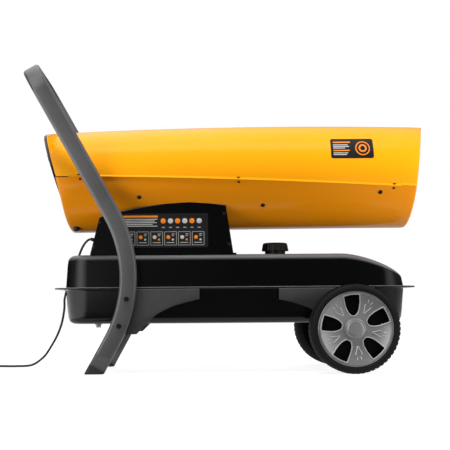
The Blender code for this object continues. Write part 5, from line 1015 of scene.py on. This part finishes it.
# %% Rubber feet and leg bolts
for side, hand in SIDES:
    rows = []
    for stage, inset in (("floor", 0.0012), ("floor_edge", 0), ("cut", 0), ("cut", 0.0019), ("stub", 0.0019)):
        row = []
        for across, out in section:
            shrink = 1 - inset / NARROW
            spot = foot_end - leaning(-LEG_LEAN) * across * shrink
            spot.y = hand * LEG_Y + out * shrink
            floor_z = 0 if stage == "floor" else 0.0012
            drop = {"cut": 0.0003, "stub": -0.020}.get(stage, (spot.z - floor_z) / cos(LEG_LEAN))
            row.append(spot - leg_up * drop)
        rows.append(row)
    dress("rubber_foot_" + side, skin_of(rows, capped=True), "black_rubber", "foot_plug_" + side)

bolt_marks = [((x, hand * (LEG_Y + NARROW), z), (0, hand, 0))
              for x, z in ((-0.293, 0.2156), (-0.315, 0.1383)) for hand in (-1, 1)]
fit(grow("leg_bolts", bolt_marks, hex_bolts, Head_Radius=0.0056, Head_Height=0.0042, Washer_Radius=0.0070,
         Washer_Height=0.0013), "black_plastic")

# %% [markdown]
# ## Brackets
# Each bracket is a sheet with a curved outline. Its top edge is folded in under the tank flange. A flat curve
# with a small bevel gives the cut sheet its soft edge, and a bent strip gives the fold.

# %% Cut sheet helper
def cut_sheet(name, outlines, place, thickness=0.003, edge=0.0004):
    """A flat sheet with soft edges. The first outline is its border and the others are openings."""
    curve = settled(bpy.data.curves.new(name, "CURVE"), dimensions="2D", fill_mode="BOTH",
                    extrude=thickness / 2 - edge, bevel_depth=edge, bevel_resolution=2, offset=-edge)
    for outline in outlines:
        add_line(curve, [(*spot, 0) for spot in outline], use_cyclic_u=True)
    maker = linked(name, curve)
    work = bmesh.new()
    work.from_mesh(plain_mesh(maker))
    bpy.data.objects.remove(maker, do_unlink=True)
    work.transform(place)
    return end_piece(name, work, sharp=40)


print("sheet tool ready")

# %% Axle and leg brackets
TAB_TOP_Z = 0.2451
FOLD = 0.0050
BRACKET_Y = 0.1668
WHEEL_Z = 0.127
AXLE_TAB = (0.14655, 0.42235)
LEG_TAB = (-0.34115, -0.08315)


def scaled_line(tab, drop, shares, parts=6):
    """A smooth line through places given as shares of a tab's length and of the drop below its top."""
    return smooth_line([(tab[0] + (tab[1] - tab[0]) * u, TAB_TOP_Z - drop * v) for u, v in shares], parts)


def axle_bracket_outline():
    drop, top = TAB_TOP_Z - WHEEL_Z, TAB_TOP_Z - FOLD
    edge = scaled_line(AXLE_TAB, drop, ((0, 0.28), (0.06, 0.31), (0.17, 0.37), (0.35, 0.53), (0.53, 0.78),
                                        (0.62, 0.94)))
    eye = arc_line((AXLE_X, WHEEL_Z), 0.026, radians(200), radians(340), 28)
    back = scaled_line(AXLE_TAB, drop, ((0.89, 0.94), (0.95, 0.70), (1, 0.36)))
    return [(AXLE_TAB[0], top), *edge, *eye, *back, (AXLE_TAB[1], top)]


def leg_bracket_outline():
    drop, top = 0.1315, TAB_TOP_Z - FOLD
    edge = scaled_line(LEG_TAB, drop, ((0.29, 1), (0.42, 0.75), (0.51, 0.58), (0.685, 0.40), (0.835, 0.31),
                                       (1, 0.23)))
    rear_top = LEG_TAB[0] + 0.258 * 0.105 * (1 - FOLD / drop)
    return [(LEG_TAB[0], TAB_TOP_Z - drop), *edge, (LEG_TAB[1], top), (rear_top, top)]


def fold_strip(start, end, hand):
    """The folded top of a bracket: down to the plate on one side, in under the flange on the other."""
    low = TAB_TOP_Z - FOLD
    outer = [(0.1683, low), *arc_line((0.1643, TAB_TOP_Z - 0.004), 0.004, 0, QUARTER, 5), (0.1483, TAB_TOP_Z)]
    inner = [(0.1483, TAB_TOP_Z - 0.003), *arc_line((0.1643, TAB_TOP_Z - 0.004), 0.001, QUARTER, 0, 3),
             (0.1653, low)]
    rows = [[Vector((x, hand * y, z)) for y, z in outer + inner] for x in (start, end)]
    return end_piece("fold", skin_of(rows, capped=True), sharp=40)


bore = arc_line((AXLE_X, WHEEL_Z), 0.0083, 0, FULL * 31 / 32, 31)
for side, hand in SIDES:
    place = Matrix.Translation((0, hand * BRACKET_Y, 0)) @ Matrix.Rotation(QUARTER, 4, "X")
    for kind, node, outlines, ends in (("axle", "front", [axle_bracket_outline(), bore], AXLE_TAB),
                                       ("leg", "rear", [leg_bracket_outline()], (-0.31406, LEG_TAB[1]))):
        # The brackets take the darker frame paint, which is painted shade.
        dress(kind + "_bracket_" + side, reopen(cut_sheet("plate", outlines, place), fold_strip(*ends, hand)),
              "grey_frame_paint", node + "_bracket_" + side, finishes=["bracket_paint"], sharp=40)

# %% [markdown]
# ## Wheels
# A moulded rim has five windows with raised edges, a lip at its outer ring and a fork-shaped rib on each
# spoke. The solid tyre sits in the rim's groove. Both wheels are drawn in the wheel's own frame, with its axis
# along Z and its outer face up, and then set in place.

# %% Wheel values
RIM_R = 0.1063
BARREL_R = 0.0978
HUB_R = 0.028
BORE_R = 0.0083
TYRE_WIDE = 0.075
WINDOWS = 5
window_angles = [radians(97) + a for a in fan(WINDOWS)]
WHEEL_Y = 0.26
wheel_places = {
    side: Matrix.Translation((AXLE_X, hand * WHEEL_Y, WHEEL_Z)) @ Matrix.Rotation(-hand * QUARTER, 4, "X")
    for side, hand in SIDES}


def wheel_face(radius):
    """Height of the spoke disc's outer face at a radius."""
    return -0.0150 + 0.0096 * (max(0, radius - HUB_R) / (BARREL_R - HUB_R)) ** 2.4


def window_outline(more=0):
    """A bullet-shaped window: round towards the hub, and bowed along the rim."""
    flank = [(0.0378 - more, 0), (0.0392 - more, 0.0058 + more * 0.6), (0.0430 - more / 2, 0.0100 + more),
             (0.0490, 0.0140 + more), (0.0570, 0.0173 + more), (0.0680, 0.0198 + more), (0.0800, 0.0212 + more),
             (0.0900, 0.0218 + more), (0.0938, 0.0218 + more), (0.0957 + more * 0.7, 0.0206 + more * 0.7)]
    side_line = smooth_line(flank, 4)
    edge = [Vector((sqrt((0.0967 + more) ** 2 - y ** 2), y))
            for y in (0.0185, 0.012, 0.006, 0, -0.006, -0.012, -0.0185)]
    return side_line + edge + mirror_of(side_line[1:])


def turned_spot(spot, angle):
    """A place on the disc's face, turned round the hub."""
    turned = Matrix.Rotation(angle, 2) @ Vector((spot[0], spot[1]))
    return Vector((turned.x, turned.y, wheel_face(turned.length) + 0.0003))


print("windows per wheel:", len(window_angles))

# %% Rim
RIM_FINISHES = ["rim_plastic", "window_black", "rim_edges"]
back = 0.0035 - TYRE_WIDE
boss_end = -(WHEEL_Y - 0.1683 - 0.0006)
seat = RIM_R - 0.0055
RIM_PROFILE = [
    (RIM_R, -0.0056), (RIM_R, -0.0080), (seat, -0.0080), (seat, back + 0.0045), (RIM_R, back + 0.0045),
    (RIM_R, back), (BARREL_R, back), (BARREL_R, -0.027), (0.020, -0.027), (0.020, boss_end), (BORE_R, boss_end),
    (BORE_R, -0.0195), (0.015, -0.0195), (0.015, -0.009), (0.0262, -0.009), (0.0268, -0.0100),
    (HUB_R + 0.0020, wheel_face(HUB_R)),
    *((r, wheel_face(r)) for r in (0.036, 0.044, 0.052, 0.060, 0.068, 0.076, 0.084, 0.092, 0.0978)),
    (0.0992, -0.0066), (0.0998, -0.0046), (0.1006, -0.0040), (0.1014, -0.0046), (0.1022, -0.0068),
    (0.1034, -0.0068), (0.1040, -0.0044), (0.1048, -0.0036), (0.1057, -0.0040)]
# Each rib of the fork is a half width and spots of (reach, distance from the spoke's middle), in mm.
RIBS = ((0.0014, ((48, 1.0), (53, 2.2), (59, 4.2), (65, 6.8), (71, 9.0), (73, 8.0), (72, 6.2))),
        (0.0012, ((79, 3.2), (82, 5.0), (86, 5.6), (88, 7.6))))


def make_rim(side, place):
    work = bmesh.new()
    lay_turned(work, RIM_PROFILE, 120, looped=True)
    rim = end_piece("rim_skin", work, RIM_FINISHES)
    # The window cuts leave walls in the dark finish, painted shade inside the windows.
    cut_through(rim, [cut_tool([Matrix.Rotation(angle, 2) @ spot for spot in window_outline()], -0.023, 0.002,
                               finishes=RIM_FINISHES, finish=1) for angle in window_angles])
    # Faces deeper than the spoke disc, the window floors with them, take the dark finish: black plastic at the
    # back, painted shade in the windows.
    for face in rim.data.polygons:
        if face.center.z < -0.0225:
            face.material_index = 1
    work = reopen(rim)
    plain_faces = len(work.faces)
    for angle in window_angles:
        lay_bead(work, [turned_spot(spot, angle) for spot in window_outline(0.0010)], 0.0016, closed=True,
                 steps=10)
        for lean in (-1, 1):
            for thick, spots in RIBS:
                rib = [turned_spot((reach / 1000, lean * wide / 1000), angle + pi / WINDOWS)
                       for reach, wide in spots]
                lay_bead(work, smooth_line(rib, 2), thick)
    # The beads round the windows and the fork ribs take the paler finish, a painted highlight.
    work.faces.ensure_lookup_table()
    for face in work.faces[plain_faces:]:
        face.material_index = 2
    dress("rim_" + side, work, "silver_rim_plastic", "wheel_rim_" + side, finishes=RIM_FINISHES,
          body=side + "_wheel", place=place)


for side, place in wheel_places.items():
    make_rim(side, place)

# %% Tree: tread blocks
tread_blocks, given, result = head_tree("tread_blocks", {"Block Length": 0.012, "Block Width": 0.016,
                                                         "Block Height": 0.004})
block_size = add_node(tread_blocks, "ShaderNodeCombineXYZ", given["Block Length"], given["Block Width"],
                      given["Block Height"])
block = add_node(tread_blocks, "GeometryNodeMeshCube", Size=block_size)
end_tree(tread_blocks, given, result, block)

# %% Tyres and hub caps
TYRE_HALF = [(0.1066, -0.0030), (0.1095, -0.0012), (0.1125, -0.0004), (0.1148, 0), (0.1162, -0.0005),
             (0.1180, -0.0006), (0.1205, -0.0016), (0.1228, -0.0040), (0.1243, -0.0075), (0.1253, -0.0120),
             (0.1256, -0.0180), (0.1257, -0.0370)]
TYRE_PROFILE = (TYRE_HALF + [(radius, -TYRE_WIDE - height) for radius, height in reversed(TYRE_HALF)]
                + [(0.1066, -0.0667), (0.1011, -0.0667), (0.1011, -0.0083), (0.1066, -0.0083)])
HUB_PROFILE = [(0.0001, -0.0087), (0.0250, -0.0087), (0.0257, -0.0084), (0.0258, -0.0074), (0.0252, -0.0068),
               (0.0244, -0.0072), (0.0240, -0.0082), (0.0236, -0.0070), (0.0228, -0.0064), (0.0190, -0.0059),
               (0.0140, -0.0057), (0.0080, -0.0056), (0.0001, -0.0056)]
BLOCKS = 54
for side, place in wheel_places.items():
    for name, profile, steps, looped, sharp, slot, node in (
            ("tyre_body_", TYRE_PROFILE, 120, True, 36, "tyre_rubber", "tyre_"),
            ("hub_cover_", HUB_PROFILE, 72, False, 40, "silver_rim_plastic", "hub_cap_")):
        work = bmesh.new()
        lay_turned(work, profile, steps, looped)
        dress(name + side, work, slot, node + side, body=side + "_wheel", place=place, sharp=sharp)
    marks = []
    for row_number, height in enumerate((-0.0165, -0.0305, -0.0445, -0.0585)):
        for i in range(BLOCKS):
            spoke = round_at(1, FULL * (i + 0.5 * (row_number % 2)) / BLOCKS)
            marks.append((place @ (spoke * 0.1252 + Vector((0, 0, height))), place.to_3x3() @ spoke))
    tread = grow("tread_" + side, marks, tread_blocks, "tyre_rubber", sharp=20, Block_Length=0.0105,
                 Block_Width=0.0112, Block_Height=0.0034)
    fit(tread, "tyre_rubber", body=side + "_wheel")

# %% [markdown]
# ## Fuel cap
# The cap is moulded with grip ribs round its side. Its outline is one ring of points whose radius dips between
# the ribs, repeated up the side and closed over a rounded top edge.

# %% Fuel cap
CAP_LOW_Z = 0.3594
CAP_ROWS = (
    (0.0001, 0, 0.0062), (0.0310, 0, 0.0062), (0.0313, 0, 0.0056), (0.0313, 0, 0), (0.0400, 0.0008, 0),
    (0.04075, 0.0010, 0.0008), (0.0405, 0.0012, 0.0030), (0.0374, 0.0012, 0.0196), (0.0368, 0.0010, 0.0214),
    (0.0356, 0.0006, 0.0230), (0.0338, 0.0002, 0.0242), (0.0312, 0, 0.0247), (0.0272, 0, 0.0248),
    (0.0262, 0, 0.0242), (0.0252, 0, 0.0242), (0.0242, 0, 0.0247), (0.0120, 0, 0.0248), (0.0001, 0, 0.0248))


def cap_row(radius, dip, height, steps=176, ribs=22):
    return [round_at(radius - dip * (0.5 - 0.5 * cos(ribs * a)) ** 2, a, height) for a in fan(steps)]


dress("ribbed_fuel_cap", skin_of([cap_row(*values) for values in CAP_ROWS]), "black_plastic", "fuel_cap",
      body="cap", place=Matrix.Translation((CAP_X, 0, CAP_LOW_Z)), sharp=40)

# %% [markdown]
# ## Intake guard
# A dished wire guard closes the slanting rear mouth: rings of wire, six spokes and a hub plate inside a rim
# band. It is drawn flat and round, and then leaned and stretched into the mouth.

# %% Guard
GUARD_LEAN = radians(17.5)
GUARD_R = 0.1463
WIRE = 0.0015
guard_place = (Matrix.Translation((-0.5019, 0, 0.568)) @ Matrix.Rotation(-GUARD_LEAN, 4, "Y")
               @ Matrix.Diagonal((1, 1, 1 / cos(GUARD_LEAN), 1)) @ Matrix.Rotation(-QUARTER, 4, "Y"))


def guard_height(radius):
    return 0.006 * (1 - (radius / GUARD_R) ** 2)


work = bmesh.new()
lay_turned(work, [(GUARD_R, -0.0012), (GUARD_R, 0.0008), (GUARD_R - 0.0008, 0.0013), (0.1406, 0.0015),
                  (0.1394, 0.0006), (0.1396, -0.0010)], 120, looped=True)
for radius in (0.0508, 0.0800, 0.1100):
    lay_bead(work, ring_of(radius, guard_height(radius), 96), WIRE, closed=True)
for angle in fan(6):
    lay_bead(work, [round_at(r, angle, guard_height(r) + 0.0014)
                    for r in (0.020, 0.045, 0.070, 0.095, 0.120, 0.142)], WIRE + 0.0001)
lay_turned(work, [(0.0001, 0.0078), (0.018, 0.0078), (0.0215, 0.0074), (0.023, 0.0064), (0.023, 0.0048),
                  (0.0001, 0.0048)], 64)
inward = guard_place.inverted().to_3x3() @ Vector((1, 0, 0))
lay_rows(work, [[spot + inward * depth for spot in ring_of(GUARD_R - inset, 0, 120)]
                for inset, depth in ((0.0003, 0), (0.0003, 0.0125), (0.0020, 0.0125), (0.0020, 0))], looped=True)
dress("intake_wire_guard", work, "black_enamel", "intake_guard", place=guard_place, sharp=40)

# %% [markdown]
# ## Labels and marks
# The real machine carries printed plates. Here they are plain: a dark plate with rounded corners and a few
# bars and cells in a layout of its own, with no words or signs. A plate on the barrel follows its curve.

# %% Patch helpers
def even_outline(outline, step):
    """An outline with extra points, so that no stretch of it is longer than the step."""
    line = []
    for a, b in zip(outline, outline[1:] + outline[:1]):
        parts = max(1, ceil((b - a).length / step))
        line += [a.lerp(b, i / parts) for i in range(parts)]
    return line


def barrel_patch(work, x0, x1, z0, z1, lift, thickness, corner, finish):
    """A rounded patch that follows the barrel's right side between two lengths and two heights."""
    outline = even_outline(rounded_box(x0, x1, z0, z1, corner, 5), 0.004)
    middle = Vector(((x0 + x1) / 2, (z0 + z1) / 2))
    rows = [(1, 0)] + [(1 - level / 8.2, thickness) for level in range(9)]
    lay_rows(work, [[on_barrel(*barrel_place(*(middle + (spot - middle) * size)), OUT + lift + rise)
                     for spot in outline] for size, rise in rows], capped=True, finish=finish)


def flat_patch(work, x0, x1, z0, z1, y, thickness, corner, finish, inset=0.0001):
    """A rounded patch on the right cover."""
    outline = rounded_box(x0, x1, z0, z1, corner, 4)
    smaller = rounded_box(x0 + inset, x1 - inset, z0 + inset, z1 - inset, corner, 4)
    lay_rows(work, [[Vector((x, -y - rise, z)) for x, z in line] for line, rise in (
        (outline, 0), (outline, thickness * 0.7), (smaller, thickness))], capped=True, finish=finish)


OUT = SHEET + LAP
print("patch tools ready")

# %% Plates
PLATE_FINISHES = ["label_face", "label_orange", "label_grey"]
work = bmesh.new()
barrel_patch(work, 0.3026, 0.4272, 0.6202, 0.6802, 0.0001, 0.0006, 0.006, 0)
for x1, z0, z1, finish in (
        (0.3606, 0.6672, 0.6712, 1), (0.3526, 0.6597, 0.6622, 2), (0.3566, 0.6547, 0.6572, 2),
        (0.3446, 0.6497, 0.6522, 2), (0.3576, 0.6417, 0.6452, 1), (0.3526, 0.6347, 0.6372, 2),
        (0.3486, 0.6297, 0.6322, 2)):
    barrel_patch(work, 0.3096, x1, z0, z1, 0.0007, 0.0003, 0.001, finish)
for half, finish, lift in ((0.0215, 1, 0), (0.0180, 0, 0.0002), (0.0120, 1, 0.0004), (0.0070, 0, 0.0006)):
    barrel_patch(work, 0.3956 - half, 0.3956 + half, 0.6502 - half, 0.6502 + half, 0.0007 + lift, 0.0003,
                 half * 0.98, finish)
dress("barrel_plate", work, "black_plastic", finishes=PLATE_FINISHES, sharp=40)

work = bmesh.new()
flat_patch(work, -0.3126, -0.0566, 0.3660, 0.4655, COVER_Y + 0.0001, 0.0006, 0.005, 0)
marks = [(-0.3056, -0.2026, 0.4535, 0.4595, 1)]
for end, z in ((-0.2046, 0.4475), (-0.2126, 0.4425), (-0.2066, 0.4375), (-0.2186, 0.4325), (-0.2046, 0.4275)):
    marks.append((-0.3056, end, z, z + 0.0022, 2))
for k in range(6):
    x = -0.1876 + 0.0210 * k
    marks += [(x - 0.0075, x + 0.0075, 0.4360, 0.4510, 1 + k % 2), (x - 0.0045, x + 0.0045, 0.4235, 0.4255, 2)]
    x = -0.3056 + 0.0404 * k
    marks += [(x + start, x + end, z0, z1, finish) for start, end, z0, z1, finish in (
        (0, 0.0356, 0.4115, 0.4125, 2), (0, 0.0356, 0.3725, 0.3735, 2), (0, 0.0010, 0.3735, 0.4115, 2),
        (0.0346, 0.0356, 0.3735, 0.4115, 2), (0.0060, 0.0170, 0.3905, 0.4015, 2 - k % 2),
        (0.0210, 0.0300, 0.4045, 0.4062, 2), (0.0210, 0.0280, 0.3995, 0.4012, 2),
        (0.0060, 0.0290, 0.3795, 0.3812, 2), (0.0215, 0.0275, 0.3860, 0.3920, 1 + k % 2))]
for x0, x1, z0, z1, finish in marks:
    flat_patch(work, x0, x1, z0, z1, COVER_Y + 0.0007, 0.0002, min(x1 - x0, z1 - z0) * 0.45, finish)
dress("cover_plate", work, "black_plastic", finishes=PLATE_FINISHES, sharp=40)

# %% Marks round the controls
work = bmesh.new()
for k in range(11):
    angle = radians(-45 + 27 * k)
    end = 0.0235 + (0.0055 if k % 5 == 0 else 0.0035)
    corners = ((0.0235, -0.0006), (end, -0.0006), (end, 0.0006), (0.0235, 0.0006))
    lay_rows(work, [[Vector((DIAL_X, COVER_Y + out, CONTROL_Z)) + leaning(angle) * reach + rising(angle) * wide
                     for reach, wide in corners] for out in (0.0002, 0.0005)], capped=True)
dress("dial_marks", work, "black_plastic", finishes=["label_grey"])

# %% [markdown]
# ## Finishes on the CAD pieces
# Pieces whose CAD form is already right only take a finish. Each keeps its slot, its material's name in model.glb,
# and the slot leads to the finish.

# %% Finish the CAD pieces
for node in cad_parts.values():
    for number, material in enumerate(node.data.materials):
        slot = material.name.split(".")[0]
        finish = FINISHES.get(FINISH_OF_SLOT.get(slot, slot))
        if finish:
            node.data.materials[number] = finish
print("CAD pieces finished:", len(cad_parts))

# %% [markdown]
# ## Floor and light
# The photograph is a product shot on white: the ground is invisible, the room behind the camera is dark, and
# the glossy paint mirrors a bright space above, behind and at both ends. So the camera sees white, and
# reflections see a ramp from the dark front over the bright top. A long soft box hangs above the barrel, two
# small ones stand low at its ends, and one lights the far side from behind.

# %% Floor
FLOOR_HALF, FLOOR_Z = 6, -0.0005
floor_mesh = bpy.data.meshes.new("studio_floor")
floor_mesh.from_pydata([(x, y, FLOOR_Z) for x, y in (
    (-FLOOR_HALF, -FLOOR_HALF), (FLOOR_HALF, -FLOOR_HALF), (FLOOR_HALF, FLOOR_HALF), (-FLOOR_HALF, FLOOR_HALF))],
    [], [(0, 1, 2, 3)])
linked("studio_floor", floor_mesh)
floor_finish = bpy.data.materials.new("studio_floor")
floor_finish.use_nodes = True
floor_mesh.materials.append(floor_finish)
tree = floor_finish.node_tree
tree.nodes.clear()
rays = tree.nodes.new("ShaderNodeLightPath").outputs
spot = tree.nodes.new("ShaderNodeTexCoord").outputs["Object"]
place = add_node(tree, "ShaderNodeSeparateXYZ", spot).outputs


def mixed_shader(tree, share, first, second):
    return add_node(tree, "ShaderNodeMixShader", share, first, second)


albedo = add_node(tree, "ShaderNodeMapRange", Value=rays["Is Camera Ray"], To_Min=0.15, To_Max=0.80)
shade = add_node(tree, "ShaderNodeBsdfDiffuse", Color=albedo)
away = add_node(tree, "ShaderNodeVectorMath", spot, operation="LENGTH")
paper = add_node(tree, "ShaderNodeMapRange", Value=away.outputs["Value"], From_Min=0.7, From_Max=2.6, To_Min=1.25,
                 To_Max=1.44)
seen_glow = add_node(tree, "ShaderNodeEmission", Strength=paper)
along = worked(tree, "MULTIPLY", worked(tree, "ADD", place["X"], 1), 0.5)
lengthwise = ramp_of(tree, along, ((0.05, 1.5), (0.18, 0.06), (0.68, 0.06), (0.82, 0.4)), "EASE")
beneath = ramp_of(tree, worked(tree, "ADD", place["Y"], 1), ((0.56, 0.0), (0.66, 0.6)), "EASE")
mirrored_glow = add_node(tree, "ShaderNodeEmission", Strength=worked(tree, "MAXIMUM", lengthwise, beneath))
seen = mixed_shader(tree, worked(tree, "MULTIPLY", rays["Is Camera Ray"], 0.7), shade, seen_glow)
add_node(tree, "ShaderNodeOutputMaterial",
         Surface=mixed_shader(tree, rays["Is Glossy Ray"], seen, mirrored_glow))
print("floor ready")

# %% World
world = bpy.data.worlds.new("studio")
scene.world = world
world.use_nodes = True
tree = world.node_tree
tree.nodes.clear()
rays = tree.nodes.new("ShaderNodeLightPath").outputs
way = add_node(tree, "ShaderNodeSeparateXYZ", tree.nodes.new("ShaderNodeTexCoord").outputs["Generated"]).outputs
forward = worked(tree, "MULTIPLY", way["Y"], -1)
height = worked(tree, "DIVIDE", worked(tree, "ARCTAN2", way["Z"], forward), pi)
ends = worked(tree, "MULTIPLY", worked(tree, "ADD", way["X"], 1), 0.5)
over = ramp_of(tree, height, ((0.0, 0.01), (0.15, 0.010), (0.21, 0.18), (0.28, 0.25), (0.38, 0.85), (0.52, 1.65),
                              (0.70, 1.35), (0.86, 0.6), (0.97, 0.02)))
lengthwise = ramp_of(tree, ends, ((0.12, 0.1), (0.30, 0.9), (0.42, 1.1), (0.58, 0.5), (0.80, 0.4), (0.95, 0.1)),
                     "EASE")
side = ramp_of(tree, ends, ((0.0, 1.0), (0.18, 2.0), (0.34, 0.9), (0.44, 0.0), (0.64, 0.0), (0.80, 0.8),
                            (0.97, 1.2)), "EASE")
nearer = ramp_of(tree, forward, ((0.0, 0.0), (0.7, 1.0)), "EASE")
glow = worked(tree, "ADD", worked(tree, "MULTIPLY", over, lengthwise), worked(tree, "MULTIPLY", side, nearer))
seen, fill, mirrored = (add_node(tree, "ShaderNodeBackground", (1, 1, 1, 1), strength)
                        for strength in (1.0, 0.22, glow))
seen_rays = worked(tree, "MAXIMUM", rays["Is Camera Ray"], rays["Is Transmission Ray"])
add_node(tree, "ShaderNodeOutputWorld",
         Surface=mixed_shader(tree, seen_rays, mixed_shader(tree, rays["Is Glossy Ray"], fill, mirrored), seen))
print("world ready")

# %% Lights
def soft_light(name, place, aim, width, height, watts):
    light = settled(bpy.data.lights.new(name, "AREA"), shape="RECTANGLE", size=width, size_y=height, energy=watts)
    turn = (Vector(aim) - Vector(place)).to_track_quat("-Z", "Y").to_euler()
    settled(linked(name, light), location=place, rotation_euler=turn, visible_glossy=False)
    print("light:", name)


soft_light("top_box", (-0.1, -1.0, 3.3), (0, 0, 0.5), 2.4, 0.9, 121)
soft_light("front_low", (1.3, -0.75, 0.35), (0.4, 0, 0.45), 0.7, 0.5, 13)
soft_light("rear_low", (-1.08, -0.68, 0.34), (-0.48, 0, 0.5), 0.6, 0.5, 6.5)
soft_light("back_box", (0.3, 2.4, 1.7), (0, 0, 0.45), 1.8, 0.9, 48)

# %% Look and end
scene.view_settings.view_transform = "Standard"
